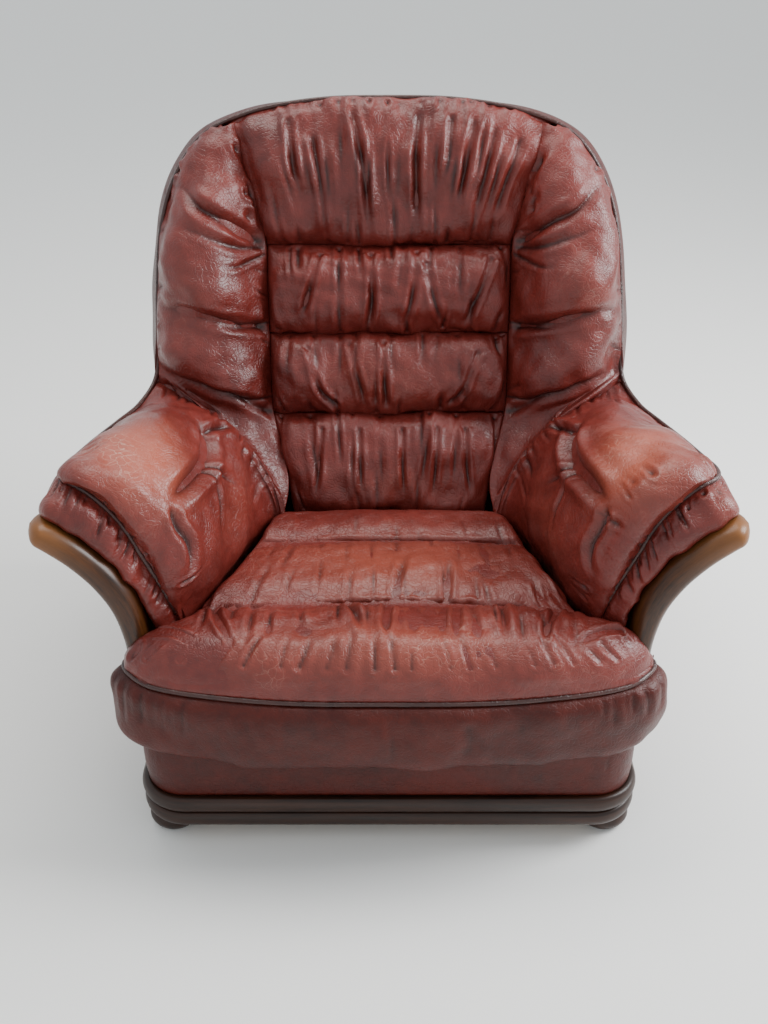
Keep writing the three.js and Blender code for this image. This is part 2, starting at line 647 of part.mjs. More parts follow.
function rollSolid({ low, high, swell, halfLow, halfHigh }) {
  const [z0, y0] = low;
  const [z1, y1] = high;
  // points of the section: share of the way up, and how far in front (-) or behind (+) the creases
  const section = [
    [0.02, 4], [0.12, -swell * 0.62], [0.35, -swell], [0.65, -swell], [0.88, -swell * 0.62],
    [0.98, 4], [0.97, ROLL_DEPTH * 0.5], [0.9, ROLL_DEPTH], [0.1, ROLL_DEPTH], [0.03, ROLL_DEPTH * 0.5],
  ];
  const across = [-1, -0.93, -0.6, 0, 0.6, 0.93, 1];
  const rings = across.map((s) =>
    section.map(([up, out]) => {
      const half = halfLow + (halfHigh - halfLow) * up;
      const edge = Math.abs(s) > 0.99 ? 0.7 : 1;
      const lift = (up - 0.5) * edge + 0.5;
      const shove = out < 0 ? out * edge : out;
      return point(s * half, Math.min(y0 + (y1 - y0) * lift + shove, 380), z0 + (z1 - z0) * lift);
    }),
  );
  return loft(rings);
}
const rollSolids = {};
for (const [name, sizes] of Object.entries(rolls)) {
  rollSolids[name] = fitted(
    rollSolid(sizes),
    [seatRaw, shellWelt, bandTop, topRail, ...Object.values(rollSolids)],
    SNUG_GAP,
  );
  add(name, rollSolids[name], LEATHER);
}

// ---------- Wings: the stuffed sides of the back, from the seat up round the top corners ----------
const wingStations = [
  [[176, 40, 340], [250, 34, 338], [340, 60, 338], [394, 118, 340], [380, 240, 340], [210, 240, 340]],
  [[186, 78, 430], [250, 58, 430], [340, 66, 440], [398, 116, 450], [384, 260, 440], [215, 260, 430]],
  [[203, 122, 515], [262, 76, 530], [345, 72, 550], [400, 124, 572], [392, 290, 560], [225, 300, 530]],
  [[207, 172, 640], [262, 108, 642], [345, 98, 645], [396, 154, 640], [404, 330, 650], [230, 340, 640]],
  [[210, 222, 780], [270, 150, 775], [342, 150, 770], [389, 208, 760], [392, 350, 780], [232, 360, 780]],
  [[222, 250, 850], [278, 185, 870], [332, 188, 868], [368, 240, 856], [356, 356, 862], [244, 362, 850]],
  [[238, 284, 972], [264, 250, 968], [296, 242, 952], [322, 268, 930], [310, 352, 930], [254, 354, 940]],
].map((ring) => ring.map((p) => point(...p)));
const wing = fitted(pad(wingStations, 14, 1), [
  seatRaw, shellWelt, armPad, bandSide, bandTop, armRail, outerArm, topRail, backPost,
  ...Object.values(rollSolids),
], SNUG_GAP);
addPair("back_wing", wing, LEATHER);
addPair("arm_rail", fitted(armRail, [backPost, ...webs], 0.5), FRAME_WOOD);

export default chair;
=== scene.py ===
"""A worn oxblood leather club armchair with flared show-wood arm fronts, a beaded plinth and bun feet."""

import math

import bpy
import numpy as np
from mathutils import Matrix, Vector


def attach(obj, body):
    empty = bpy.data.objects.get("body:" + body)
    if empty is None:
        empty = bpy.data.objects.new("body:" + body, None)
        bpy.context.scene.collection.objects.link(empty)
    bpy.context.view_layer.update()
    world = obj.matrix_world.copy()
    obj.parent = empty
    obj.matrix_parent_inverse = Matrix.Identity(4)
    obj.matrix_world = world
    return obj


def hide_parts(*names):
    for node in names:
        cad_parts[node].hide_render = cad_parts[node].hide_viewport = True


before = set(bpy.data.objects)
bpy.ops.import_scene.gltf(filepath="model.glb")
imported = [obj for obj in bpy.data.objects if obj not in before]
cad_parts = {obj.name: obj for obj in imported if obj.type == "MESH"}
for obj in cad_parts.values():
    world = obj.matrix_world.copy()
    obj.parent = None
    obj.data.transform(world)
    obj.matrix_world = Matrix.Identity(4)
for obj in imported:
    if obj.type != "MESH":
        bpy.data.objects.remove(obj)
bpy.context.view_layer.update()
scene = bpy.context.scene

# ---- Camera, floor and light ----
# A standing viewer's look down at the chair on a pale floor. A tall window's soft light comes from
# the right, with a pale room all round it.
EYE = (0.0, -1.78, 1.45)
LOOK_DOWN_DEGREES = 31.0
camera_data = bpy.data.cameras.new("camera")
camera_data.sensor_width = 36.0
camera_data.lens = 42.2
camera_data.shift_x = -0.005
camera = bpy.data.objects.new("camera", camera_data)
scene.collection.objects.link(camera)
camera.location = EYE
camera.rotation_euler = (math.radians(90 - LOOK_DOWN_DEGREES), 0.0, 0.0)
scene.camera = camera


def linear(hex_colour):
    """An sRGB hex colour as linear RGBA: c/12.92 below 0.04045, else ((c + 0.055)/1.055)^2.4."""
    values = [int(hex_colour[i : i + 2], 16) / 255 for i in (0, 2, 4)]
    return (*[c / 12.92 if c <= 0.04045 else ((c + 0.055) / 1.055) ** 2.4 for c in values], 1.0)


def new_material(name):
    """A material with nothing in its node tree but a Principled shader and the output."""
    material = bpy.data.materials.new(name)
    material.use_nodes = True
    tree = material.node_tree
    tree.nodes.clear()
    shader = tree.nodes.new("ShaderNodeBsdfPrincipled")
    output = tree.nodes.new("ShaderNodeOutputMaterial")
    tree.links.new(shader.outputs["BSDF"], output.inputs["Surface"])
    return material, tree, shader


def mesh_object(name, points, faces, material, smooth=True):
    """An object at the origin from an array of points and a list of faces."""
    mesh = bpy.data.meshes.new(name)
    mesh.from_pydata(np.asarray(points).tolist(), [], faces)
    mesh.update()
    if smooth:
        mesh.polygons.foreach_set("use_smooth", np.ones(len(mesh.polygons), dtype=bool))
    mesh.materials.append(material)
    made = bpy.data.objects.new(name, mesh)
    scene.collection.objects.link(made)
    return made


FLOOR_HALF = 14.0
floor_material, tree, shader = new_material("matt_floor_paint")
shader.inputs["Base Color"].default_value = linear("f5f4f1")
shader.inputs["Roughness"].default_value = 0.6
floor_corners = np.array([(-1, -1, 0), (1, -1, 0), (1, 1, 0), (-1, 1, 0)]) * FLOOR_HALF
floor = mesh_object("floor", floor_corners, [(0, 1, 2, 3)], floor_material, smooth=False)

world = bpy.data.worlds.new("pale_room")
scene.world = world
world.use_nodes = True
background = world.node_tree.nodes["Background"]
background.inputs["Color"].default_value = linear("e4e9ec")
background.inputs["Strength"].default_value = 1.15


def area_light(name, place, target, size, watts, colour):
    """A rectangular light at place that faces target."""
    data = bpy.data.lights.new(name, "AREA")
    data.shape = "RECTANGLE"
    data.size, data.size_y = size
    data.energy = watts
    data.color = linear(colour)[:3]
    lamp = bpy.data.objects.new(name, data)
    scene.collection.objects.link(lamp)
    lamp.location = place
    lamp.rotation_euler = (Vector(target) - Vector(place)).to_track_quat("-Z", "Y").to_euler()


area_light("window", (2.3, 0.1, 1.9), (0.0, 0.0, 0.5), (1.2, 1.8), 105, "fbfdff")
area_light("ceiling", (-0.2, 0.7, 3.0), (0.0, 0.0, 0.4), (2.2, 1.4), 50, "fffaf4")

# ---- Leather ----
# Aniline-dyed cow hide, drum-dyed oxblood and wax-polished by long use: painted shade, with darker dye, in
# the creases, orange-brown where arms and legs have rubbed it, and fine cracks in the finish.

# How many times a metre each pattern repeats. The pores of a real hide lie under 1 mm apart, which is too
# fine to show, so they are drawn at about 2 mm.
DYE_CLOUDS = 7.0  # uneven dye in clouds about 140 mm across
DYE_MOTTLE = 48.0  # mottling about 20 mm across
CRACK_BENDS = 16.0  # the cracks wander every 60 mm or so
FINISH_CRACKS = 55.0  # plates of cracked finish about 18 mm across
WRINKLES = 60.0  # soft wrinkles about 17 mm apart
CRAZING = 120.0  # crazing in plates about 8 mm across
PORES = 520.0  # pores about 2 mm apart


def node(tree, kind, settings=None, **links):
    """Adds a node of that kind. settings holds its properties, its inputs' values and, for a ramp, its
    two stops of (place, grey or colour); links maps an input's name, or its number after an underscore,
    to the socket that feeds it."""
    made = tree.nodes.new("ShaderNode" + kind)
    for key, value in (settings or {}).items():
        if key == "stops":
            for element, (place, tone) in zip(made.color_ramp.elements, value):
                element.position = place
                element.color = tone if isinstance(tone, tuple) else (tone, tone, tone, 1.0)
        elif isinstance(key, int) or key in made.inputs:
            made.inputs[key].default_value = value
        else:
            setattr(made, key, value)
    for key, source in links.items():
        target = made.inputs[int(key[1:])] if key[1:].isdigit() else made.inputs[key.replace("_", " ")]
        tree.links.new(source, target)
    return made


def leather_material(name, dark, body, rubbed, deep, gloss, coat, specular):
    """Oxblood hide. The creases are darkened towards deep, as painted shade with darker dye in them, and
    "wear" lightens what has been rubbed; both masks are stored on the vertices. Waxed hide gives a soft broad
    highlight with a tighter one over it."""
    material, tree, shader = new_material(name)
    place = node(tree, "TexCoord").outputs["Object"]
    crease_shade_and_dye = node(tree, "Attribute", {"attribute_name": "crease_shade_and_dye"}).outputs["Fac"]
    wear = node(tree, "Attribute", {"attribute_name": "wear"}).outputs["Fac"]
    cloud = node(tree, "TexNoise", {"Scale": DYE_CLOUDS, "Detail": 5.0, "Roughness": 0.62}, Vector=place)
    mottle = node(tree, "TexNoise", {"Scale": DYE_MOTTLE, "Detail": 4.0, "Roughness": 0.6}, Vector=place)
    tone = node(tree, "Mix", {"Factor": 0.4}, _2=cloud.outputs["Fac"], _3=mottle.outputs["Fac"])
    stops = [(0.34, linear(dark)), (0.60, linear(body))]
    dye = node(tree, "ValToRGB", {"stops": stops}, _0=tone.outputs[0]).outputs["Color"]
    # rubbed parts: broken up by the mottle, so that their edges are ragged
    ragged = node(tree, "Math", {"operation": "MULTIPLY_ADD", 1: 0.9, 2: -0.45}, _0=cloud.outputs["Fac"])
    rub = node(tree, "Math", {"operation": "ADD", "use_clamp": True}, _0=wear, _1=ragged.outputs[0])
    rub = node(tree, "Math", {"operation": "MULTIPLY", "use_clamp": True}, _0=rub.outputs[0], _1=wear)
    worn = node(tree, "Mix", {"data_type": "RGBA", "B": linear(rubbed)}, _0=rub.outputs[0], _6=dye)
    # hair-thin cracks in the finish, palest on the rubbed parts
    bend = node(tree, "TexNoise", {"Scale": CRACK_BENDS, "Detail": 3.0}, Vector=place)
    sway = {"operation": "MULTIPLY_ADD", 1: (0.09, 0.09, 0.09)}
    bent = node(tree, "VectorMath", sway, _0=bend.outputs["Color"], _2=place)
    cracks = node(
        tree, "TexVoronoi", {"feature": "DISTANCE_TO_EDGE", "Scale": FINISH_CRACKS}, Vector=bent.outputs[0],
    )
    line = node(tree, "ValToRGB", {"stops": [(0.0, 1.0), (0.035, 0.0)]}, _0=cracks.outputs["Distance"])
    patchy = node(tree, "ValToRGB", {"stops": [(0.50, 0.0), (0.64, 1.0)]}, _0=cloud.outputs["Fac"])
    scuff = node(tree, "Math", {"operation": "MULTIPLY"}, _0=line.outputs[0], _1=patchy.outputs[0])
    scuff = node(tree, "Math", {"operation": "MULTIPLY"}, _0=scuff.outputs[0], _1=wear)
    scuff = node(tree, "Math", {"operation": "MULTIPLY", 1: 0.75, "use_clamp": True}, _0=scuff.outputs[0])
    scuffed = node(
        tree, "Mix", {"data_type": "RGBA", "B": linear("c9a090")}, _0=scuff.outputs[0], _6=worn.outputs[2],
    )
    # painted shade in the creases, with darker dye: the crease mask mixes the colour towards deep
    shade = node(tree, "Math", {"operation": "MULTIPLY", 1: 0.85, "use_clamp": True}, _0=crease_shade_and_dye)
    colour = node(
        tree, "Mix", {"data_type": "RGBA", "B": linear(deep)}, _0=shade.outputs[0], _6=scuffed.outputs[2],
    )
    tree.links.new(colour.outputs[2], shader.inputs["Base Color"])
    rough = node(tree, "MapRange", {1: 0.3, 2: 0.7, 3: gloss - 0.07, 4: gloss + 0.1}, _0=tone.outputs[0])
    tree.links.new(rough.outputs[0], shader.inputs["Roughness"])
    shader.inputs["Coat Weight"].default_value = coat
    shader.inputs["Coat Roughness"].default_value = 0.28
    shader.inputs["Specular IOR Level"].default_value = specular
    # bumps, coarse to fine: soft wrinkles, crazing, pores
    wrinkle = node(
        tree, "TexNoise", {"Scale": WRINKLES, "Detail": 5.0, "Roughness": 0.55, "Distortion": 0.6},
        Vector=place,
    )
    first = node(tree, "Bump", {"Strength": 0.3, "Distance": 0.0022}, Height=wrinkle.outputs["Fac"])
    craze = node(
        tree, "TexVoronoi", {"feature": "DISTANCE_TO_EDGE", "Scale": CRAZING}, Vector=bent.outputs[0],
    )
    groove = node(tree, "ValToRGB", {"stops": [(0.0, 0.0), (0.12, 1.0)]}, _0=craze.outputs["Distance"])
    second = node(
        tree, "Bump", {"Strength": 0.35, "Distance": 0.0011}, Height=groove.outputs[0],
        Normal=first.outputs[0],
    )
    pores = node(tree, "TexVoronoi", {"Scale": PORES}, Vector=place)
    third = node(
        tree, "Bump", {"Strength": 0.4, "Distance": 0.0004}, Height=pores.outputs["Distance"],
        Normal=second.outputs[0],
    )
    tree.links.new(third.outputs[0], shader.inputs["Normal"])
    return material


# the seat, arms and back: rubbed and polished hide; the boxing, outsides and rear: the same hide dyed
# darker as painted shade, since they face away from the light, and duller, being less handled; the piping:
# dark, and burnished smooth
# the fourth colour of each, deep, is the painted shade at the bottom of the creases, with darker dye
leather = leather_material("oxblood_leather", "561c17", "702720", "a2523f", "170504", 0.34, 0.12, 0.44)
# a darker copy of the hide: painted shade for the faces turned away from the window
painted_shade_leather = leather_material(
    "oxblood_leather_painted_shade", "340c07", "4f150b", "74291a", "100403", 0.40, 0.04, 0.28,
)
piping_leather = leather_material(
    "oxblood_piping_leather", "28100c", "411912", "6e3a2e", "120504", 0.30, 0.15, 0.5,
)


# ---- Inside back: four stuffed rolls ----
# The tufted middle of the back: four rolls of one hide, stuffed with horsehair and stitched down to the
# webbing along three creases, with the slack gathered into upright pleats.
def spline_weights(count, steps):
    """Rows of Catmull-Rom weights: each of the steps is a place from 0 to count - 1, and its row blends
    the four controls round it. Past either end the last two controls run on in a straight line."""
    place = np.clip(np.asarray(steps, float), 0, count - 1)
    cell = np.minimum(place.astype(int), count - 2)
    t = place - cell
    basis = [
        -0.5 * t + t**2 - 0.5 * t**3,
        1 - 2.5 * t**2 + 1.5 * t**3,
        0.5 * t + 2 * t**2 - 1.5 * t**3,
        -0.5 * t**2 + 0.5 * t**3,
    ]
    rows = np.zeros((len(place), count + 2))
    line = np.arange(len(place))
    for k in range(4):
        rows[line, cell + k] += basis[k]
    rows[:, 1] += 2 * rows[:, 0]
    rows[:, 2] -= rows[:, 0]
    rows[:, count] += 2 * rows[:, count + 1]
    rows[:, count - 1] -= rows[:, count + 1]
    return rows[:, 1 : count + 1]


def smooth_line(points, count):
    """count points, evenly spaced, on a Catmull-Rom curve through the points."""
    points = np.asarray(points, float)
    fine = spline_weights(len(points), np.linspace(0, len(points) - 1, 40 * len(points))) @ points
    run = np.concatenate([[0], np.cumsum(np.linalg.norm(np.diff(fine, axis=0), axis=1))])
    wanted = np.linspace(0, run[-1], count)
    return np.stack([np.interp(wanted, run, fine[:, k]) for k in range(fine.shape[1])], axis=1)


def smooth_net(net, rows, columns):
    """A rows by columns grid of points on the surface through a net of controls, Catmull-Rom both ways."""
    net = np.asarray(net, float)
    down = spline_weights(net.shape[0], np.linspace(0, net.shape[0] - 1, rows))
    over = spline_weights(net.shape[1], np.linspace(0, net.shape[1] - 1, columns))
    return np.einsum("ri,cj,ijk->rck", down, over, net)


def hide(grid, looks):
    """A stretched hide over a grid of points, before it is creased: the grid, its unit normals, which are
    the cross product of its two slopes and lean the way looks points, and empty arrays for the height,
    the painted shade and darker dye of the creases, and the wear."""
    normal = np.cross(np.gradient(grid, axis=0), np.gradient(grid, axis=1))
    if (normal.mean(axis=(0, 1)) * looks).sum() < 0:
        grid, normal = grid[:, ::-1], -normal[:, ::-1]
    normal = normal / np.maximum(np.linalg.norm(normal, axis=2, keepdims=True), 1e-12)
    blank = np.zeros(grid.shape[:2])
    layers = {layer: blank.copy() for layer in ("height", "crease_shade_and_dye", "wear")}
    return {"place": grid, "normal": normal, **layers}


def on_hide(skin, points):
    """The hide's grid points that lie nearest to some points in millimetres, by squared distance."""
    flat = skin["place"].reshape(-1, 3)
    return np.array([flat[((flat - np.asarray(p) / 1000.0) ** 2).sum(axis=1).argmin()] for p in points])


VALLEY = 0.72  # the valley's share of a crease's width; the next four are in valley widths or metres
LIP_AT = 1.9
LIP_WIDTH = 0.95
DARK_WIDTH = 0.55
DARK_DEPTH = 0.005


def crease(skin, points, depth, width, lip=0.35, fade=(0.3, 0.3)):
    """A sharp valley along the smooth line through some points of the hide, in millimetres: depth *
    exp(-distance / width), with a soft bell-shaped lip of lip * depth on both sides, LIP_AT widths out.
    It dies away, by a smooth step, over the shares in fade of its length at its start and end. The
    painted shade in the valley, with darker dye, is a narrower bell, at its darkest where the crease is
    DARK_DEPTH deep or more."""
    line = smooth_line(on_hide(skin, points), 6 * len(points))
    depth, width = depth / 1000.0, VALLEY * width / 1000.0
    place = skin["place"]
    near = np.all((place > line.min(axis=0) - 5 * width) & (place < line.max(axis=0) + 5 * width), axis=-1)
    p = place[near]
    best = np.full(len(p), np.inf)
    along = np.zeros(len(p))
    for k, (a, b) in enumerate(zip(line[:-1], line[1:])):
        run = b - a
        t = np.clip((p - a) @ run / max(run @ run, 1e-12), 0, 1)
        gap = ((p - a - t[:, None] * run) ** 2).sum(axis=1)
        along = np.where(gap < best, (k + t) / (len(line) - 1), along)
        best = np.minimum(best, gap)
    d = np.sqrt(best) / width
    full = np.ones(len(p))
    for share, gone in zip(fade, (along, 1 - along)):
        if share:
            full = np.minimum(full, gone / share)
    full = full * full * (3 - 2 * full)
    skin["height"][near] += depth * full * (lip * np.exp(-(((d - LIP_AT) / LIP_WIDTH) ** 2)) - np.exp(-d))
    # the crease's painted shade, which also stands for darker dye in it
    shade = full * np.exp(-((d / DARK_WIDTH) ** 2)) * min(1.0, depth / DARK_DEPTH)
    skin["crease_shade_and_dye"][near] = np.maximum(skin["crease_shade_and_dye"][near], shade)


def gathers(skin, seam, into, count, length, depth, width, seed, stray=0.14):
    """Pleats where the hide is drawn up along a seam: count creases, one at a random place in each equal
    share of the seam's line, that run towards the same share of the line "into" and are bent sideways by
    a random part, stray, of their length. Their lengths, depths and widths vary at random round the
    given ones. All are in millimetres."""
    rng = np.random.default_rng(seed)
    fine = 60  # places on each line
    seam = smooth_line(seam, fine)
    into = smooth_line(into, fine) if len(into) > 1 else np.repeat(np.asarray(into, float), fine, axis=0)
    shares = (np.arange(count) + rng.uniform(0.15, 0.85, count)) / count
    for k in (shares * (fine - 1)).astype(int):
        start, goal = seam[k], into[k]
        way = (goal - start) / max(np.linalg.norm(goal - start), 1e-6)
        reach = length * rng.uniform(0.6, 1.8)
        side = rng.normal(0, stray, 3)
        middle = start + way * reach * 0.5 + side * reach * 0.25
        end = start + way * reach + side * reach * 0.7
        deep = depth * rng.uniform(0.5, 1.3)
        wide = width * rng.uniform(0.7, 1.35)
        crease(skin, [start, middle, end], deep, wide, 0.5, (0, 0.5))


def swell(skin, size, height, seed, stretch=(1, 1, 1), sharp=False):
    """Unevenness of the stuffing or the hide: a sum of sine waves in random directions, each about size
    long, times height. Sharp ones are turned to thin valleys, -exp(-|sum| / 0.22), like wrinkles. stretch
    weights the waves' directions. All are in millimetres."""
    rng = np.random.default_rng(seed)
    count = 16
    way = rng.normal(size=(count, 3)) * stretch
    way /= np.linalg.norm(way, axis=1, keepdims=True)
    turns = way * (2 * np.pi * 1000.0 / (size * rng.uniform(0.7, 1.6, (count, 1))))
    waves = np.sin(skin["place"] @ turns.T + rng.uniform(0, 2 * np.pi, count))
    total = waves.sum(axis=-1) / np.sqrt(count / 2)
    if sharp:
        total = -np.exp(-np.abs(total) / 0.22)
    skin["height"] += total * height / 1000.0


def rub(skin, centre, reach, amount):
    """Wear by hands, arms and legs: amount * exp(-(distance / reach)^2) from a centre, where reach is a
    length for each axis. Both are in millimetres."""
    gap = (skin["place"] * 1000.0 - centre) / reach
    skin["wear"] += amount * np.exp(-(gap**2).sum(axis=-1))


def upholster(name, skin, material, replaced, thick=0.012, step=6, hem=8):
    """A closed piece from a creased hide: its grid of points, moved along their normals by their heights,
    with a coarse copy of it, every step-th point, thick behind it and a wall of triangles round the rim.
    The heights die away by a smooth step over the hem, in cells, as the seams hold the edge flat. The
    grid's sides are a whole number of steps long."""
    rows, columns = skin["height"].shape
    inward = [np.minimum(np.arange(n), np.arange(n)[::-1]) for n in (rows, columns)]
    held = np.clip(np.minimum(inward[0][:, None], inward[1][None, :]) / hem, 0, 1)
    front = skin["place"] + skin["normal"] * (skin["height"] * held * held * (3 - 2 * held))[..., None]
    index = np.arange(rows * columns).reshape(rows, columns)
    quads = np.stack([index[:-1, :-1], index[1:, :-1], index[1:, 1:], index[:-1, 1:]], axis=-1).reshape(-1, 4)
    back = (skin["place"] - skin["normal"] * thick)[::step, ::step]
    coarse = rows * columns + np.arange(back.shape[0] * back.shape[1]).reshape(back.shape[:2])
    turned = [coarse[:-1, :-1], coarse[:-1, 1:], coarse[1:, 1:], coarse[1:, :-1]]
    behind = np.stack(turned, axis=-1).reshape(-1, 4)
    fine_rim, coarse_rim = [
        np.concatenate([k[0, :-1], k[:-1, -1], k[-1, :0:-1], k[:0:-1, 0]]) for k in (index, coarse)
    ]
    spread = np.stack([fine_rim, np.roll(fine_rim, -1), np.repeat(coarse_rim, step)], axis=-1)
    bridge = np.stack([coarse_rim, np.roll(fine_rim, -step)[::step], np.roll(coarse_rim, -1)], axis=-1)
    faces = quads.tolist() + behind.tolist() + spread.tolist() + bridge.tolist()
    points = np.concatenate([front.reshape(-1, 3), back.reshape(-1, 3)])
    piece = mesh_object(name, points, faces, material)
    for layer in ("crease_shade_and_dye", "wear"):
        values = np.concatenate([skin[layer].ravel(), np.zeros(back.shape[0] * back.shape[1])])
        stored = piece.data.attributes.new(layer, "FLOAT", "POINT")
        stored.data.foreach_set("value", np.clip(values, 0, 1.2).astype(np.float32))
    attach(piece, "root")
    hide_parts(*replaced)
    return piece


def roll_skin(low, high, puff, rows=109, columns=217, tuck=(12.0, 12.0)):
    """A roll between two lines across the back: straight from the low one to the high one, in steps that
    crowd towards both, and pushed forward by puff * (1 - |2 up - 1|^2.3)^0.55 * (1 - |side|^10)^0.5. tuck
    is how far its lower and upper edges are drawn back."""
    up = ((1 - np.cos(np.linspace(0, np.pi, rows))) / 2)[:, None, None]
    low, high = [smooth_line(line, columns)[None] / 1000.0 for line in (low, high)]
    run = high - low
    run /= np.linalg.norm(run, axis=2, keepdims=True)
    forward = np.cross(run, (1.0, 0, 0))
    forward /= np.linalg.norm(forward, axis=2, keepdims=True)
    forward *= -np.sign(forward[..., 1:2])
    side = np.linspace(-1, 1, columns)[None, :, None]
    out = puff * (1 - np.abs(2 * up - 1) ** 2.3) ** 0.55 * (1 - np.abs(side) ** 10) ** 0.5
    out = out - tuck[0] - (tuck[1] - tuck[0]) * up
    return hide(low + (high - low) * up + forward * out / 1000.0, (0, -1, 0.3))


def across(half, y, z, count=9):
    """count evenly spaced points from -half to half in x, all at the same y and z."""
    return [(half * s, y, z) for s in np.linspace(-1, 1, count)]


# The seam line that all the inside leather is sewn to, on the right: from the middle of the top, round
# the wing, along the arm's outer edge and down its front to the seat.
SHELL_LINE = np.array(
    [
        (0, 300, 1010), (118, 298, 1007), (230, 291, 989), (312, 278, 954), (362, 254, 890), (388, 224, 812),
        (398, 190, 715), (400, 155, 632), (404, 122, 578), (424, 64, 556), (448, 2, 554), (468, -80, 563),
        (480, -155, 574), (487, -218, 585), (478, -250, 588), (452, -267, 583), (426, -275, 566),
        (402, -280, 541), (384, -283, 512), (372, -285, 484), (356, -286, 450), (340, -287, 414),
        (326, -287, 372),
    ]
)

# the head roll's upper edge: the top of that line on both sides, drawn in a little under the piping
right_top = smooth_line(SHELL_LINE[:4], 9)[:8]
head_line = np.concatenate([right_top[:0:-1] * (-1, 1, 1), right_top]) * (0.985, 1, 1) + (0, 2, -1)
skin = roll_skin(across(168, 34, 352), across(206, 120, 513), 40)
gathers(skin, across(200, 118, 510), across(175, 34, 360), 9, 105, 4.6, 6.5, 11, 0.07)
gathers(skin, across(168, 34, 362), across(200, 118, 510), 5, 50, 2.5, 6, 12)
for x, lean, depth in ((-118, -14, 7), (-52, 4, 6), (22, 6, 8), (84, -10, 6), (132, 16, 7)):
    crease(skin, [(x, 90, 505), (x + lean * 0.4, 40, 440), (x + lean, 10, 385)], depth, 6, 0.4, (0.05, 0.4))
swell(skin, 90, 3.0, 13)
swell(skin, 30, 0.8, 14)
rub(skin, (0, 20, 420), (170, 60, 60), 0.35)
upholster("back_base_roll_cover", skin, leather, ["back_base_roll"])

skin = roll_skin(across(206, 120, 513), across(209, 172, 641), 46)
gathers(skin, across(200, 168, 638), across(190, 120, 520), 9, 66, 3.8, 6, 21, 0.1)
gathers(skin, across(196, 118, 516), across(200, 168, 636), 8, 55, 3.4, 6, 22, 0.1)
for line, depth in (
    ([(-10, 150, 638), (-8, 100, 575), (-4, 105, 520)], 9),
    ([(-72, 150, 638), (-52, 95, 578), (-42, 105, 522)], 7),
    ([(-140, 150, 622), (-118, 100, 560), (-84, 110, 520)], 8),
    ([(156, 150, 612), (124, 100, 556), (100, 110, 520)], 8),
):
    crease(skin, line, depth, 7, 0.45, (0.08, 0.15))
swell(skin, 90, 3.0, 23)
swell(skin, 30, 0.8, 24)
rub(skin, (0, 100, 580), (170, 60, 70), 0.25)
upholster("back_lower_roll_cover", skin, leather, ["back_lower_roll"])

skin = roll_skin(across(209, 172, 641), across(211, 222, 783), 48)
gathers(skin, across(205, 218, 780), across(200, 172, 650), 9, 75, 4, 6, 31, 0.1)
gathers(skin, across(202, 170, 646), across(200, 218, 780), 8, 58, 3.6, 6, 32, 0.1)
for line, depth in (
    ([(-32, 205, 778), (-30, 145, 712), (-34, 155, 646)], 11),
    ([(-118, 205, 776), (-138, 150, 720), (-152, 155, 668)], 8),
    ([(46, 205, 778), (38, 145, 716), (24, 155, 650)], 8),
    ([(62, 190, 766), (78, 145, 706), (96, 160, 650)], 6),
    ([(176, 200, 768), (150, 145, 712), (126, 155, 652)], 9),
):
    crease(skin, line, depth, 7.5, 0.45, (0.05, 0.2))
swell(skin, 90, 3.0, 33)
swell(skin, 30, 0.8, 34)
upholster("back_upper_roll_cover", skin, leather, ["back_upper_roll"])

skin = roll_skin(across(211, 222, 783), head_line, 48, rows=139, tuck=(12.0, -1.0))
gathers(skin, across(215, 290, 990), across(170, 222, 790), 15, 125, 4.4, 6.5, 41, 0.05)
gathers(skin, across(200, 224, 788), across(230, 290, 1000), 11, 62, 3.4, 6, 42, 0.08)
for line, depth in (
    ([(-62, 285, 985), (-46, 235, 930), (-40, 225, 880), (-32, 235, 800)], 12),
    ([(50, 285, 985), (44, 235, 930), (46, 225, 870), (50, 235, 800)], 10),
    ([(-166, 285, 965), (-160, 240, 915), (-152, 230, 880)], 8),
    ([(-128, 270, 955), (-116, 230, 890), (-106, 235, 800)], 9),
    ([(104, 280, 975), (100, 235, 930), (92, 235, 890)], 8),
    ([(140, 280, 970), (128, 235, 910), (112, 235, 850)], 9),
    ([(176, 275, 960), (160, 235, 900), (140, 235, 830)], 8),
    ([(215, 275, 945), (194, 240, 890), (176, 235, 830)], 8),
):
    crease(skin, line, depth, 8, 0.45, (0.12, 0.25))
swell(skin, 100, 3.5, 43)
swell(skin, 32, 0.9, 44)
rub(skin, (0, 240, 900), (150, 60, 60), 0.2)
upholster("back_head_roll_cover", skin, leather, ["back_head_roll"])

# ---- Wings ----
# The stuffed sides of the back, one hide each side, sewn to the piping outside and drawn down to the
# frame along the edge of the tufted middle. Three creases run out level with the middle's own.
SIDES = (("right", 1), ("left", -1))


def mirror(points, sign):
    """Points on the chair's right as they are, or on its left, where sign is -1, with x turned over."""
    return np.asarray(points, float) * (sign, 1, 1)


WING_NET = np.array(
    [
        [(184, 2, 366), (206, 22, 440), (259, 42, 511), (338, 82, 550), (402, 123, 566)],
        [(176, 50, 420), (218, 50, 458), (272, 54, 520), (345, 78, 565), (403, 128, 584)],
        [(203, 122, 514), (250, 90, 528), (305, 84, 550), (358, 98, 578), (402, 139, 604)],
        [(206, 152, 578), (256, 86, 590), (315, 70, 612), (370, 98, 642), (400, 158, 666)],
        [(208, 178, 640), (262, 112, 655), (318, 94, 680), (372, 122, 706), (398, 190, 722)],
        [(209, 202, 712), (262, 120, 724), (322, 98, 748), (374, 136, 776), (392, 218, 800)],
        [(211, 224, 783), (262, 158, 798), (318, 146, 824), (362, 184, 846), (381, 239, 842)],
        [(222, 240, 850), (264, 186, 866), (306, 180, 886), (341, 218, 897), (359, 256, 895)],
        [(240, 262, 918), (266, 234, 932), (294, 232, 942), (314, 252, 948), (320, 275, 947)],
        [(256, 284, 974), (264, 270, 974), (272, 264, 972), (279, 270, 970), (284, 285, 971)],
    ]
)
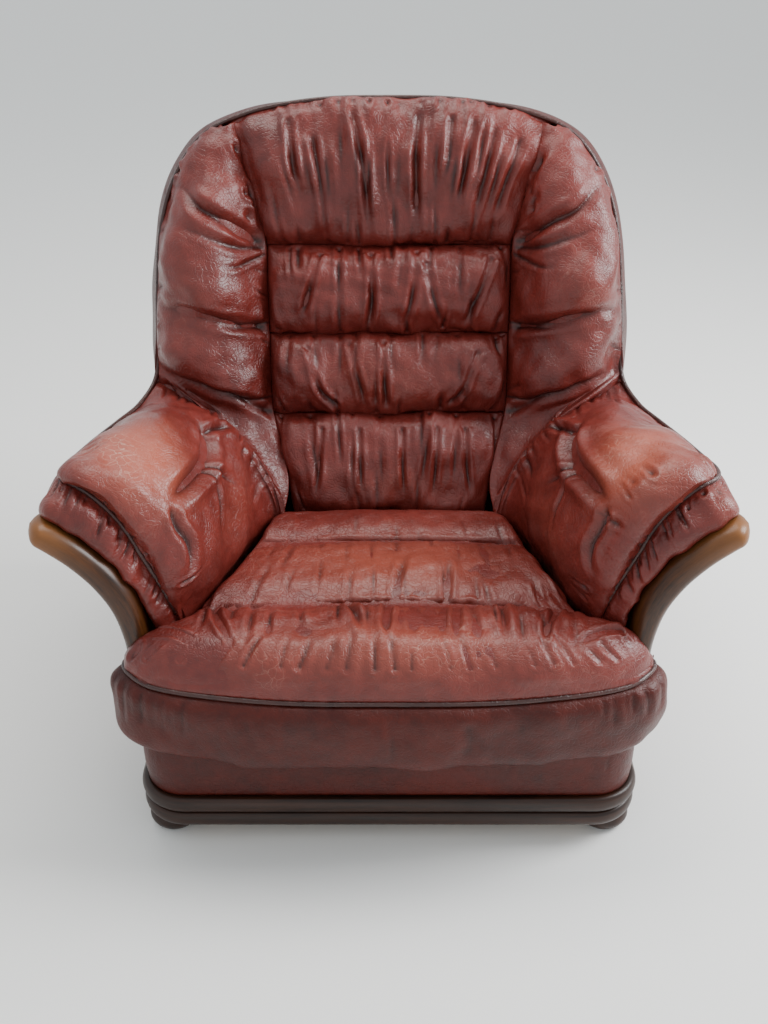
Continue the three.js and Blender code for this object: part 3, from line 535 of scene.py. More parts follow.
for side, sign in SIDES:
    seed = 50 + 10 * (sign < 0)
    skin = hide(smooth_net(WING_NET / 1000.0 * (sign, 1, 1), 241, 121), (-0.3 * sign, -1, 0))
    for line, depth, width in (
        ([(212, 218, 787), (260, 174, 832), (310, 168, 862), (346, 207, 884), (368, 246, 874)], 14, 13),
        ([(213, 216, 780), (258, 164, 800), (318, 144, 828), (364, 180, 836)], 6, 9),
        ([(212, 172, 650), (275, 106, 685), (335, 98, 702), (372, 122, 704), (398, 170, 692)], 13, 12),
        ([(203, 122, 512), (259, 87, 556), (319, 80, 580), (366, 96, 590), (401, 134, 590)], 11, 11),
        ([(209, 190, 655), (252, 118, 668), (300, 96, 690)], 5, 6),
        ([(211, 216, 768), (250, 150, 770), (300, 116, 782)], 5, 6),
        ([(206, 140, 535), (246, 94, 550), (290, 84, 575)], 5, 6),
    ):
        crease(skin, mirror(line, sign), depth, width, 0.3, (0.02, 0.6))
    gathers(
        skin, mirror([(380, 246, 852), (358, 262, 902), (318, 276, 948), (284, 284, 970)], sign),
        mirror([(220, 236, 800)], sign), 7, 120, 6.5, 8.5, seed + 1, 0.08,
    )
    gathers(
        skin, mirror([(402, 140, 604), (398, 186, 715), (390, 222, 812)], sign),
        mirror([(260, 120, 650), (250, 130, 730), (240, 160, 830)], sign), 6, 55, 2.5, 6.5, seed + 2, 0.1,
    )
    gathers(
        skin, mirror([(205, 140, 540), (209, 190, 680), (215, 230, 800), (240, 262, 915)], sign),
        mirror([(330, 90, 600), (330, 100, 720), (330, 160, 850), (300, 210, 950)], sign), 8, 32, 2.6, 5,
        seed + 3,
    )
    swell(skin, 110, 3.0, seed + 4)
    swell(skin, 40, 0.7, seed + 5)
    rub(skin, (330 * sign, 100, 740), (70, 60, 120), 0.25)
    upholster(f"back_wing_cover_{side}", skin, leather, [f"back_wing_{side}"])

# ---- Arms ----
# A stuffed roll along each arm that turns down into the inside of the arm. One button-like tuft and two
# deep folds draw the hide in, and its front edge is gathered to the piping.
ARM_NET = np.array(
    [
        [(486, -230, 586), (474, -256, 588), (450, -267, 582), (424, -275, 565), (400, -280, 539),
         (382, -284, 508), (366, -286, 470), (348, -286, 430), (327, -287, 372), (318, -287, 330)],
        [(486, -222, 587), (474, -254, 598), (446, -284, 600), (408, -294, 578), (372, -298, 540),
         (348, -300, 496), (334, -299, 450), (322, -296, 404), (318, -292, 360), (316, -286, 326)],
        [(486, -208, 584), (468, -230, 606), (428, -256, 613), (376, -268, 592), (332, -272, 542),
         (308, -276, 486), (296, -276, 438), (298, -272, 396), (308, -268, 358), (318, -262, 326)],
        [(484, -178, 578), (462, -188, 602), (418, -198, 614), (360, -208, 598), (312, -214, 548),
         (282, -220, 490), (270, -222, 438), (276, -224, 394), (290, -226, 352), (302, -226, 322)],
        [(477, -120, 569), (452, -126, 592), (402, -132, 608), (342, -138, 594), (292, -142, 542),
         (264, -146, 482), (250, -148, 432), (252, -150, 388), (266, -152, 348), (280, -152, 318)],
        [(465, -60, 560), (438, -62, 580), (386, -66, 597), (326, -70, 584), (278, -72, 532), (248, -74, 472),
         (230, -76, 424), (230, -76, 380), (244, -78, 344), (258, -78, 314)],
        [(448, 2, 553), (418, 0, 572), (366, 0, 586), (308, 0, 570), (262, 0, 522), (232, 0, 462),
         (212, 0, 414), (208, -2, 374), (222, -4, 340), (236, -4, 312)],
        [(424, 66, 554), (394, 60, 566), (346, 44, 572), (290, 30, 550), (246, 20, 504), (218, 14, 452),
         (200, 8, 408), (192, 4, 370), (200, 0, 338), (212, 0, 310)],
        [(403, 122, 572), (370, 102, 562), (330, 80, 549), (286, 58, 529), (250, 42, 503), (224, 30, 472),
         (204, 20, 436), (192, 8, 400), (184, -2, 362), (190, -6, 320)],
    ]
)
for side, sign in SIDES:
    seed = 70 + 10 * (sign < 0)
    skin = hide(smooth_net(ARM_NET / 1000.0 * (sign, 1, 1), 217, 241), (-1.0 * sign, 0, 0.6))
    for line, depth, width, fade in (
        ([(318, -20, 578), (296, -42, 560), (288, -75, 548), (290, -115, 543), (300, -170, 545),
          (318, -225, 548), (332, -256, 546)], 22, 17, (0.25, 0.3)),
        ([(324, -252, 545), (314, -262, 512), (302, -262, 484), (304, -270, 456), (324, -282, 432)],
         10, 11, (0.15, 0.5)),
        ([(290, -112, 545), (272, -100, 505), (258, -70, 460)], 6, 9, (0.05, 0.7)),
        ([(292, -125, 540), (266, -150, 480), (262, -190, 430)], 6, 9, (0.05, 0.7)),
        ([(296, -40, 560), (278, 5, 545), (262, 30, 522)], 9, 10, (0.1, 0.4)),
    ):
        crease(skin, mirror(line, sign), depth, width, 0.45, fade)
    seam = [(478, -250, 590), (426, -277, 568), (384, -285, 512), (356, -287, 450), (330, -288, 380)]
    into = [(440, -180, 612), (340, -200, 580), (290, -200, 500), (270, -200, 430), (280, -200, 380)]
    gathers(skin, mirror(seam, sign), mirror(into, sign), 13, 55, 4.5, 6, seed + 1)
    gathers(
        skin, mirror([(402, 118, 572), (330, 78, 550), (250, 42, 503), (204, 20, 436)], sign),
        mirror([(400, 20, 580), (320, -20, 575), (250, -30, 500), (215, -40, 420)], sign), 9, 60, 3.5, 6,
        seed + 2,
    )
    gathers(
        skin, mirror([(484, -190, 580), (465, -60, 560), (424, 60, 556)], sign),
        mirror([(400, -190, 610), (380, -60, 597), (340, 40, 572)], sign), 9, 50, 1.8, 5, seed + 3,
    )
    swell(skin, 120, 3.0, seed + 4)
    swell(skin, 34, 0.6, seed + 5)
    swell(skin, 60, 0.5, seed + 6, (0.4, 1.0, 0.4), sharp=True)
    rub(skin, (390 * sign, -180, 605), (90, 130, 60), 0.95)
    rub(skin, (330 * sign, -230, 560), (60, 80, 60), 0.5)
    rub(skin, (260 * sign, -120, 450), (60, 120, 60), 0.35)
    upholster(f"arm_pad_cover_{side}", skin, leather, [f"arm_pad_{side}"])

# ---- Arm fronts and outsides ----
# A small puffed panel fills the space between the piping and the show wood. Plain leather on board
# covers the outside of each arm, from the piping down to the plinth.
FRONT_NET = np.array(
    [
        [(487, -215, 584), (496, -230, 577), (502, -246, 566), (506, -258, 554), (504, -262, 540)],
        [(479, -250, 587), (491, -270, 580), (503, -284, 568), (508, -290, 554), (503, -288, 541)],
        [(452, -267, 582), (466, -292, 578), (482, -306, 566), (488, -308, 550), (480, -296, 536)],
        [(426, -275, 565), (438, -300, 562), (452, -314, 549), (458, -314, 531), (450, -298, 516)],
        [(402, -280, 540), (412, -302, 538), (424, -316, 525), (430, -314, 507), (422, -296, 492)],
        [(384, -283, 511), (392, -303, 509), (402, -316, 498), (407, -312, 482), (400, -294, 468)],
        [(372, -285, 483), (380, -304, 481), (388, -315, 470), (392, -310, 455), (386, -292, 444)],
        [(356, -286, 449), (364, -304, 448), (372, -314, 438), (377, -309, 424), (374, -291, 416)],
        [(340, -287, 413), (349, -304, 412), (358, -313, 404), (365, -307, 394), (362, -289, 388)],
        [(326, -287, 371), (337, -303, 370), (348, -312, 363), (357, -306, 356), (357, -288, 350)],
        [(320, -287, 332), (331, -302, 331), (343, -310, 327), (352, -305, 322), (354, -288, 320)],
    ]
)
OUTER_NET = np.array(
    [
        [(388, -274, 98), (390, -274, 250), (394, -268, 340), (407, -262, 404), (430, -259, 452),
         (460, -259, 494), (488, -259, 528), (495, -258, 558), (487, -240, 583)],
        [(390, -180, 98), (393, -180, 250), (397, -180, 340), (409, -180, 404), (431, -180, 452),
         (461, -180, 494), (486, -180, 524), (491, -180, 550), (482, -176, 575)],
        [(390, -80, 98), (394, -80, 250), (398, -80, 340), (409, -80, 404), (428, -80, 452), (452, -80, 489),
         (471, -80, 514), (477, -80, 538), (468, -80, 561)],
        [(390, 0, 98), (394, 0, 250), (398, 0, 340), (406, 0, 404), (420, 0, 452), (438, 0, 484),
         (453, 0, 506), (459, 0, 528), (450, 0, 552)],
        [(390, 68, 98), (393, 68, 250), (396, 68, 340), (402, 68, 404), (409, 68, 448), (418, 68, 476),
         (427, 68, 500), (431, 68, 522), (425, 66, 553)],
        [(390, 115, 98), (391, 115, 250), (393, 115, 340), (396, 115, 404), (399, 115, 446), (402, 115, 476),
         (405, 115, 504), (407, 118, 536), (405, 120, 572)],
    ]
)
for side, sign in SIDES:
    seed = 90 + 10 * (sign < 0)
    skin = hide(smooth_net(FRONT_NET / 1000.0 * (sign, 1, 1), 181, 49), (0.2 * sign, -1, 0.3))
    seam = [(486, -240, 586), (426, -276, 566), (384, -285, 512), (356, -288, 450), (330, -288, 380)]
    into = [(500, -290, 550), (456, -314, 532), (405, -312, 484), (376, -309, 426), (354, -306, 360)]
    gathers(skin, mirror(seam, sign), mirror(into, sign), 20, 38, 4.5, 4.5, seed + 1)
    swell(skin, 40, 1.5, seed + 2)
    rub(skin, (490 * sign, -290, 566), (40, 40, 30), 0.4)
    upholster(f"arm_front_cover_{side}", skin, leather, [f"arm_front_panel_{side}"])
    skin = hide(smooth_net(OUTER_NET / 1000.0 * (sign, 1, 1), 61, 91), (sign, 0, 0))
    gathers(
        skin, mirror([(487, -235, 580), (468, -80, 560), (425, 60, 552)], sign),
        mirror([(480, -240, 500), (450, -80, 480), (420, 60, 480)], sign), 12, 45, 1.6, 4.5, seed + 4,
    )
    drag = [(405, -250, 404), (407, -150, 402), (405, -20, 396), (396, 90, 390)]
    crease(skin, mirror(drag, sign), 1.5, 12, 0.3)
    swell(skin, 160, 1.2, seed + 5)
    upholster(
        f"arm_outer_cover_{side}", skin, painted_shade_leather, [f"arm_outer_panel_{side}"], thick=0.005,
    )

# ---- Outside back ----
# A band of hide runs up one side, over the top and down the other, and one plain sheet, welted at its
# edge, closes the back. Both are tacked under the frame at the floor.
BAND_NET = np.array(
    [
        [(391, 115, 98), (402, 280, 98), (382, 424, 98)],
        [(392, 115, 300), (411, 285, 300), (389, 436, 300)],
        [(398, 117, 460), (425, 290, 470), (399, 442, 470)],
        [(406, 124, 570), (432, 293, 580), (402, 443, 580)],
        [(403, 154, 640), (429, 303, 660), (397, 443, 655)],
        [(401, 191, 718), (419, 318, 740), (385, 439, 732)],
        [(391, 225, 814), (400, 330, 830), (363, 430, 812)],
        [(365, 255, 892), (369, 340, 900), (335, 420, 872)],
        [(314, 279, 955), (315, 350, 951), (281, 416, 914)],
        [(231, 292, 991), (229, 356, 981), (201, 415, 938)],
        [(118, 299, 1009), (117, 360, 993), (103, 415, 946)],
    ]
)
band_top = [[(0, 301, 1012), (0, 361, 996), (0, 415, 948)]]
band_net = np.concatenate([BAND_NET, band_top, BAND_NET[::-1] * (-1, 1, 1)])
skin = hide(smooth_net(band_net / 1000.0, 361, 37), (0, 0, 1))
swell(skin, 140, 0.8, 111)
for sign in (1, -1):
    crease(skin, mirror([(391, 115, 470), (424, 290, 480), (399, 442, 474)], sign), 1.5, 14, 0.3)
    gathers(
        skin, mirror([(403, 154, 640), (391, 225, 814), (314, 279, 955), (118, 299, 1009)], sign),
        mirror([(429, 303, 660), (400, 330, 830), (315, 350, 957), (117, 360, 1002)], sign), 16, 30, 2, 4,
        112 + sign,
    )
upholster(
    "back_band_cover", skin, painted_shade_leather, ["back_band_right", "back_band_top", "back_band_left"],
    thick=0.005,
)

# the rear panel's outline: pairs of height and half width
REAR_ROWS = [
    (98, 380), (200, 385), (320, 391), (450, 396), (580, 398), (660, 395), (740, 381), (812, 360),
    (866, 330), (902, 290), (926, 234), (938, 168), (944, 100),
]
REAR_FULL_Z = 560
REAR_BACK_Y = 448.3


def rear_y(z):
    """The rear panel's y at a height: it is furthest back at REAR_FULL_Z, and from there it comes forward
    with the square of the distance, by 18 mm towards the floor and 31 mm towards the top."""
    below = z < REAR_FULL_Z
    drop = np.where(below, (REAR_FULL_Z - z) / 460, (z - REAR_FULL_Z) / 390)
    return REAR_BACK_Y - np.where(below, 18, 31) * drop**2


rows = smooth_line(REAR_ROWS, 85)
share = np.linspace(-1, 1, 85)[None, :]
height = rows[:, :1] + 0 * share
grid = np.stack([share * rows[:, 1:2], rear_y(height) - 8 * share**4 - 0.3, height], axis=-1) / 1000.0
skin = hide(grid, (0, 1, 0))
swell(skin, 200, 1.2, 121)
crease(skin, [(-150, 446, 300), (-60, 448, 250), (40, 446, 210)], 0.8, 14, 0.3)
crease(skin, [(120, 446, 700), (60, 448, 640), (30, 446, 560)], 0.8, 14, 0.3)
upholster("outside_back_cover", skin, painted_shade_leather, ["outside_back_panel"], thick=0.005)

# ---- Seat cushion ----
# A T-shaped boxed cushion: a top of three stuffed rows, sewn to a plain boxing with a piped seam. The
# rows are stitched down along two creases, and their slack is gathered into pleats.
SEAT_OUTLINE = np.array(
    [
        (0, -450), (150, -446), (280, -427), (368, -402), (412, -366), (425, -335), (404, -317),
        (352, -306), (322, -290), (296, -240), (266, -165), (240, -80), (218, 0), (190, 26), (95, 30),
    ]
)
SEAT_WELT_Z = 310.0
SEAT_WELT_INSET = 23.0
EAR = 5.25  # the outline's place at the tip of each ear
BOXING_END = 5.7  # and where the boxing stops, out of sight between the arms


def plan_line(t):
    """Plan points on the Catmull-Rom curve through the cushion's outline and its mirror image. t is the
    place on it, counted in the outline's points from the middle of the front, and less than 0 on the left."""
    whole = np.concatenate([SEAT_OUTLINE[:0:-1] * (-1, 1), SEAT_OUTLINE])
    return spline_weights(len(whole), np.asarray(t) + len(SEAT_OUTLINE) - 1) @ whole


def drawn_in(plan, inset):
    """Plan points moved by inset towards the cushion's middle: each one's target has 0.45 of its x, and
    its y held between -250 and -100."""
    middle = np.stack([plan[..., 0] * 0.45, np.clip(plan[..., 1], -250, -100)], axis=-1)
    way = middle - plan
    return plan + way / np.linalg.norm(way, axis=-1, keepdims=True) * np.asarray(inset)[..., None]


def edge_distance(x, y, line):
    """Distance in plan from each point to the nearest of a line's segments: to its foot on the segment,
    which is held between the two ends."""
    best = np.full(x.shape, np.inf)
    for (x0, y0), (x1, y1) in zip(line[:-1], line[1:]):
        dx, dy = x1 - x0, y1 - y0
        t = np.clip(((x - x0) * dx + (y - y0) * dy) / (dx * dx + dy * dy), 0, 1)
        best = np.minimum(best, (x - x0 - t * dx) ** 2 + (y - y0 - t * dy) ** 2)
    return np.sqrt(best)


ROW_SEAMS = (-440.0, -263.0, -80.0, 44.0)  # y of the lines between which each row is stuffed
ROW_FULLNESS = (24.0, 22.0, 18.0)
ROW_SEAM_Z = 364.0
SIDE_FALL = 14  # how much lower the top is 420 mm from the middle
FRONT_ROUND = 72  # the width over which the top rolls down to its front seam, and to its rear edge
REAR_ROUND = 26


def seat_top(rows, columns):
    """The top: straight columns from the front outline to the rear one, closer together towards the ears.
    Its height above the piped seam is the rows' height, full * (1 - |s|^2.4)^0.6 each, times a quarter
    circle of the distance from either edge."""
    side = np.sin(np.linspace(-1, 1, columns) * np.pi / 2 * 0.93) / np.sin(np.pi / 2 * 0.93)
    front = drawn_in(plan_line(np.linspace(-EAR, EAR, 241)), np.full(241, SEAT_WELT_INSET))
    rear = np.array(
        [(0, 36), (95, 34), (190, 26), (214, 2), (238, -78), (262, -160), (292, -236), (316, -286),
         (350, -300), (388, -309), (front[:, 0].max(), -321)]
    )
    x = side * front[:, 0].max()
    front_y = np.interp(x, front[:, 0], front[:, 1])
    back_y = np.maximum(np.interp(np.abs(x), rear[:, 0], rear[:, 1]), front_y + 3)
    t = np.linspace(0, 1, rows)
    run = t + 0.16 * (1 - np.exp(-t / 0.05)) + 0.03 * (np.exp(-(1 - t) / 0.05) - np.exp(-20))
    down = np.interp(np.linspace(run[0], run[-1], rows), run, t)[:, None]
    y = front_y + (back_y - front_y) * down
    x = x + 0 * y
    height = np.full(y.shape, ROW_SEAM_Z)
    for low, high, full in zip(ROW_SEAMS[:-1], ROW_SEAMS[1:], ROW_FULLNESS):
        s = np.clip(2 * (y - low) / (high - low) - 1, -1, 1)
        height += full * (1 - np.abs(s) ** 2.4) ** 0.6
    height -= SIDE_FALL * (np.abs(x) / 420) ** 2
    both = np.concatenate([rear[::-1] * (-1, 1), rear[1:]])
    to_front = np.clip(edge_distance(x, y, front[::4]) / FRONT_ROUND, 0, 1)
    to_rear = np.clip(edge_distance(x, y, both) / REAR_ROUND, 0, 1)
    round_over = np.sqrt(1 - (1 - to_front) ** 2) * np.sqrt(1 - (1 - to_rear) ** 2)
    return np.stack([x, y, SEAT_WELT_Z + (height - SEAT_WELT_Z) * round_over], axis=-1) / 1000.0


skin = hide(seat_top(217, 289), (0, 0, 1))
front_seam = [
    (-395, -345, 335), (-330, -372, 350), (-200, -395, 356), (0, -405, 358), (200, -395, 356),
    (330, -372, 350), (395, -345, 335),
]
row_one = [(-300, -266, 372), (-150, -263, 372), (0, -262, 372), (150, -263, 372), (300, -266, 372)]
row_two = [(-215, -84, 366), (-100, -80, 366), (0, -80, 366), (100, -80, 366), (215, -84, 366)]
crease(skin, row_one, 11, 9, 0.2, (0, 0))
crease(skin, row_two, 10, 9, 0.2, (0, 0))
gathers(skin, row_one, [(-300, -370, 370), (0, -400, 372), (300, -370, 370)], 15, 95, 5, 6.5, 131, 0.08)
gathers(skin, row_one, [(-260, -160, 372), (0, -140, 372), (260, -160, 372)], 12, 75, 3.6, 6, 132, 0.1)
gathers(skin, row_two, [(-230, -180, 372), (0, -200, 372), (230, -180, 372)], 10, 62, 3.2, 6, 133, 0.1)
gathers(skin, row_two, [(-190, 0, 366), (0, 20, 366), (190, 0, 366)], 7, 45, 2.6, 6, 134)
gathers(skin, front_seam, [(-300, -290, 370), (0, -300, 380), (300, -290, 370)], 22, 40, 3.2, 6, 135, 0.12)
for line, depth in (
    ([(-272, -268, 372), (-256, -320, 380), (-222, -388, 366)], 11),
    ([(-2, -268, 372), (-6, -320, 384), (-6, -405, 362)], 12),
    ([(-70, -268, 372), (-50, -310, 384), (-36, -395, 366)], 10),
    ([(104, -268, 372), (100, -305, 384), (96, -372, 374)], 9),
    ([(172, -268, 372), (170, -310, 384), (170, -372, 374)], 9),
    ([(262, -270, 372), (238, -330, 380), (218, -392, 364)], 11),
    ([(10, -258, 374), (18, -200, 384), (28, -140, 384)], 8),
    ([(90, -258, 374), (94, -200, 384), (98, -150, 384)], 8),
    ([(-352, -330, 370), (-318, -340, 372), (-270, -372, 370)], 8),
    ([(352, -330, 370), (316, -340, 372), (268, -372, 370)], 8),
):
    crease(skin, line, depth, 7.5, 0.5, (0.03, 0.45))
swell(skin, 110, 2.5, 136)
swell(skin, 36, 0.6, 137)
swell(skin, 60, 0.5, 138, sharp=True)
rub(skin, (0, -170, 385), (230, 130, 80), 0.75)
rub(skin, (0, -380, 370), (330, 60, 60), 0.6)
upholster("seat_cushion_top", skin, leather, ["seat_cushion"], thick=0.003, hem=16)

BOXING_PROFILE = [
    (24, 307), (13, 302), (4, 288), (0, 262), (0, 226), (4, 206), (12, 195), (26, 190.5), (48, 190),
]
profile = smooth_line(BOXING_PROFILE, 49)
plan = plan_line(np.linspace(-BOXING_END, BOXING_END, 361))
ring = drawn_in(plan[None].repeat(49, axis=0), profile[:, :1].repeat(361, axis=1))
grid = np.concatenate([ring, profile[:, 1:2, None].repeat(361, axis=1)], axis=-1) / 1000.0
skin = hide(grid, (0, -1, 0))
crease(skin, [(2, -450, 300), (4, -450, 250), (3, -450, 205)], 1.8, 8, 0.4, (0.1, 0.2))
crease(skin, [(112, -448, 296), (120, -448, 250), (104, -448, 210)], 2.5, 16, 0.5, (0.2, 0.3))
crease(skin, [(-210, -438, 290), (-200, -440, 240)], 1.5, 14, 0.5, (0.2, 0.6))
for sign in (1, -1):
    gathers(
        skin, mirror([(300, -420, 302), (380, -390, 302), (420, -345, 302)], sign),
        mirror([(300, -420, 200), (380, -390, 200), (420, -345, 200)], sign), 5, 50, 2.5, 7, 143 + sign,
    )
swell(skin, 120, 2.0, 141)
swell(skin, 40, 0.5, 142)
upholster("seat_cushion_boxing", skin, painted_shade_leather, ["seat_cushion"])

# ---- Front apron ----
# A strip of plain hide over the front seat rail, drawn round its rounded corners and tacked under the
# plinth's top edge below and behind the cushion above, so that it lies flat but for its slight padding.
RAIL_OUT_X = 380.0
RAIL_FRONT_Y = -386.0
CORNER_RADIUS = 58.0


def corner_path(outside, end_y, steps=24):
    """A line in plan round the seat box's front, from left to right, at a distance outside its rails: a
    quarter circle at each corner and straight runs between and behind them. Also its outward directions."""
    turn = np.linspace(0, np.pi / 2, steps)
    out = np.stack([np.cos(turn), -np.sin(turn)], axis=1)
    arc = (RAIL_OUT_X - CORNER_RADIUS, RAIL_FRONT_Y + CORNER_RADIUS) + out * (CORNER_RADIUS + outside)
    right = np.concatenate([[(RAIL_OUT_X + outside, end_y)], arc])
    ways = np.concatenate([[(1.0, 0.0)], out])
    return np.concatenate([right * (-1, 1), right[::-1]]), np.concatenate([ways * (-1, 1), ways[::-1]])


path, ways = corner_path(8.0, -312.0)
run = np.concatenate([[0], np.cumsum(np.linalg.norm(np.diff(path, axis=0), axis=1))])
path = np.concatenate([path, ways], axis=1)
path = np.stack([np.interp(np.linspace(0, run[-1], 289), run, path[:, k]) for k in range(4)], axis=1)
height = np.linspace(98, 188.5, 25)
# the padding bulges as the 0.8th power of half a sine wave
bulge = 2.2 * np.sin(np.linspace(0, np.pi, 25)) ** 0.8 - 1.0
plan = path[None, :, :2] + path[None, :, 2:] * bulge[:, None, None]
grid = np.concatenate([plan, height[:, None, None].repeat(289, axis=1)], axis=-1) / 1000.0
skin = hide(grid, (0, -1, 0))
swell(skin, 150, 0.8, 151)
gathers(
    skin, [(-360, -380, 186), (0, -394, 186), (360, -380, 186)],
    [(-360, -380, 100), (0, -394, 100), (360, -380, 100)], 14, 35, 1.0, 5, 152,
)
upholster("front_apron_cover", skin, painted_shade_leather, ["front_apron"], thick=0.006)

# ---- Piping ----
# Cotton cord about 8 mm thick, rolled in a bias strip of the same hide and sewn into the two long seams:
# one round the cushion's top and one from arm to arm over the back. Its dye has been rubbed dark.
def ring_object(name, rings, material, replaced, grain=None):
    """A closed piece through closed rings of points in millimetres, with a fan on the middle of each end
    ring. Its faces are turned over if the sum of their triple products, its volume, is negative. grain,
    if given, is each point's place in the timber: along it, across it and through it."""
    count, around = rings.shape[:2]
    index = np.arange(count * around).reshape(count, around)
    after = np.roll(index, -1, axis=1)
    quads = np.stack([index[:-1], after[:-1], after[1:], index[1:]], axis=-1).reshape(-1, 4)
    points = np.concatenate([rings.reshape(-1, 3), [rings[0].mean(axis=0), rings[-1].mean(axis=0)]])
    low = np.stack([after[0], index[0], np.full(around, index.size)], axis=-1)
    high = np.stack([index[-1], after[-1], np.full(around, index.size + 1)], axis=-1)
    corner = points[np.concatenate([quads[:, [0, 1, 2]], quads[:, [0, 2, 3]], low, high])]
    faces = quads.tolist() + low.tolist() + high.tolist()
    if np.einsum("fk,fk->", corner[:, 0], np.cross(corner[:, 1], corner[:, 2])) < 0:
        faces = [face[::-1] for face in faces]
    piece = mesh_object(name, points / 1000.0, faces, material)
    if grain is not None:
        ends = [grain[0].mean(axis=0), grain[-1].mean(axis=0)]
        whole = np.concatenate([grain.reshape(-1, 3), ends]) / 1000.0
        stored = piece.data.attributes.new("grain", "FLOAT_VECTOR", "POINT")
        stored.data.foreach_set("vector", whole.astype(np.float32).ravel())
    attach(piece, "root")
    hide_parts(*replaced)
    return piece


def cord_rings(path, radius, reference):
    """Rings of 12 points round a path: the path plus radius times cos and sin of each turn, the first way
    along reference made square to the path and the second square to both."""
    way = np.gradient(path, axis=0)
    way /= np.linalg.norm(way, axis=1, keepdims=True)
    out = reference - (reference * way).sum(axis=1, keepdims=True) * way
    out /= np.linalg.norm(out, axis=1, keepdims=True)
    up = np.cross(way, out)
    turn = np.linspace(0, 2 * np.pi, 12, endpoint=False)[None, :, None]
    return path[:, None] + radius * (np.cos(turn) * out[:, None] + np.sin(turn) * up[:, None])


PIPING_RADIUS = 4.2
welt_plan = drawn_in(plan_line(np.linspace(-EAR, EAR, 300)), np.full(300, SEAT_WELT_INSET))
welt = np.concatenate([welt_plan, np.full((300, 1), SEAT_WELT_Z)], axis=1)
upright = np.array([[0, 0, 1.0]]).repeat(300, 0)
seat_rings = cord_rings(welt, PIPING_RADIUS, upright)
ring_object("seat_piping_cord", seat_rings, piping_leather, ["seat_piping"])
shell_path = smooth_line(np.concatenate([SHELL_LINE[:0:-1] * (-1, 1, 1), SHELL_LINE]), 1000)
shell_rings = cord_rings(shell_path, PIPING_RADIUS, shell_path - (0, 300, 600))
ring_object("shell_piping_cord", shell_rings, piping_leather, ["shell_piping"])

# ---- Show wood ----
# Beech, stained walnut and lacquered. The arm facings are sawn from the board, spindle-moulded to a
# round-edged section and worn to bare gold at their noses; the plinth is run as a double bead.

# A Mapping's scale, for each direction of the timber: along the grain, across it and through it. Real
# beech has finer streaks than these, which are drawn as coarse as they need to show.
STREAKS = (6.0, 90.0, 90.0)  # about 11 mm wide and 170 mm long
FLECKS = (60.0, 700.0, 700.0)  # about 1.5 mm wide and 17 mm long
STAIN_BLOTCHES = 14.0  # the stain has taken in patches about 70 mm across


def wood_material(name, dark, light, bare, gloss):
    """Stained and lacquered beech: streaks along the grain, short darker flecks, a clear glossy coat, and
    bare wood coming through where "wear" says that hands have rubbed it."""
    material, tree, shader = new_material(name)
    grain = node(tree, "Attribute", {"attribute_name": "grain"}).outputs["Vector"]
    wear = node(tree, "Attribute", {"attribute_name": "wear"}).outputs["Fac"]
    long = node(tree, "Mapping", {"Scale": STREAKS}, Vector=grain)
    streak = node(
        tree, "TexNoise", {"Scale": 1.0, "Detail": 6.0, "Roughness": 0.6, "Distortion": 0.5},
        Vector=long.outputs[0],
    )
    short = node(tree, "Mapping", {"Scale": FLECKS}, Vector=grain)
    fleck = node(tree, "TexNoise", {"Scale": 1.0, "Detail": 3.0}, Vector=short.outputs[0])
    mixed = node(tree, "Mix", {"Factor": 0.3}, _2=streak.outputs["Fac"], _3=fleck.outputs["Fac"])
    stops = [(0.36, linear(dark)), (0.62, linear(light))]
    stain = node(tree, "ValToRGB", {"stops": stops}, _0=mixed.outputs[0]).outputs["Color"]
    place = node(tree, "TexCoord").outputs["Object"]
    blotch = node(tree, "TexNoise", {"Scale": STAIN_BLOTCHES, "Detail": 3.0}, Vector=place)
    patch = node(tree, "Math", {"operation": "MULTIPLY_ADD", 1: 0.8, 2: -0.4}, _0=blotch.outputs["Fac"])
    rub = node(tree, "Math", {"operation": "ADD", "use_clamp": True}, _0=wear, _1=patch.outputs[0])
    rub = node(tree, "Math", {"operation": "MULTIPLY", "use_clamp": True}, _0=rub.outputs[0], _1=wear)
    colour = node(tree, "Mix", {"data_type": "RGBA", "B": linear(bare)}, _0=rub.outputs[0], _6=stain)
    tree.links.new(colour.outputs[2], shader.inputs["Base Color"])
    rough = node(tree, "MapRange", {1: 0.3, 2: 0.7, 3: gloss, 4: gloss + 0.14}, _0=blotch.outputs["Fac"])
    tree.links.new(rough.outputs[0], shader.inputs["Roughness"])
    shader.inputs["Coat Weight"].default_value = 0.08
    shader.inputs["Coat Roughness"].default_value = 0.15
    shader.inputs["Specular IOR Level"].default_value = 0.35
    bump = node(tree, "Bump", {"Strength": 0.25, "Distance": 0.0006}, Height=mixed.outputs[0])
    tree.links.new(bump.outputs[0], shader.inputs["Normal"])
    return material


# the facings are redder and glossier from handling; the plinth is darker and dulled by dust and shoes
facing_wood = wood_material("walnut_stained_beech_facing", "200f05", "4c290f", "87552a", 0.29)
plinth_wood = wood_material("walnut_stained_beech_plinth", "180a04", "33190b", "6b4526", 0.34)

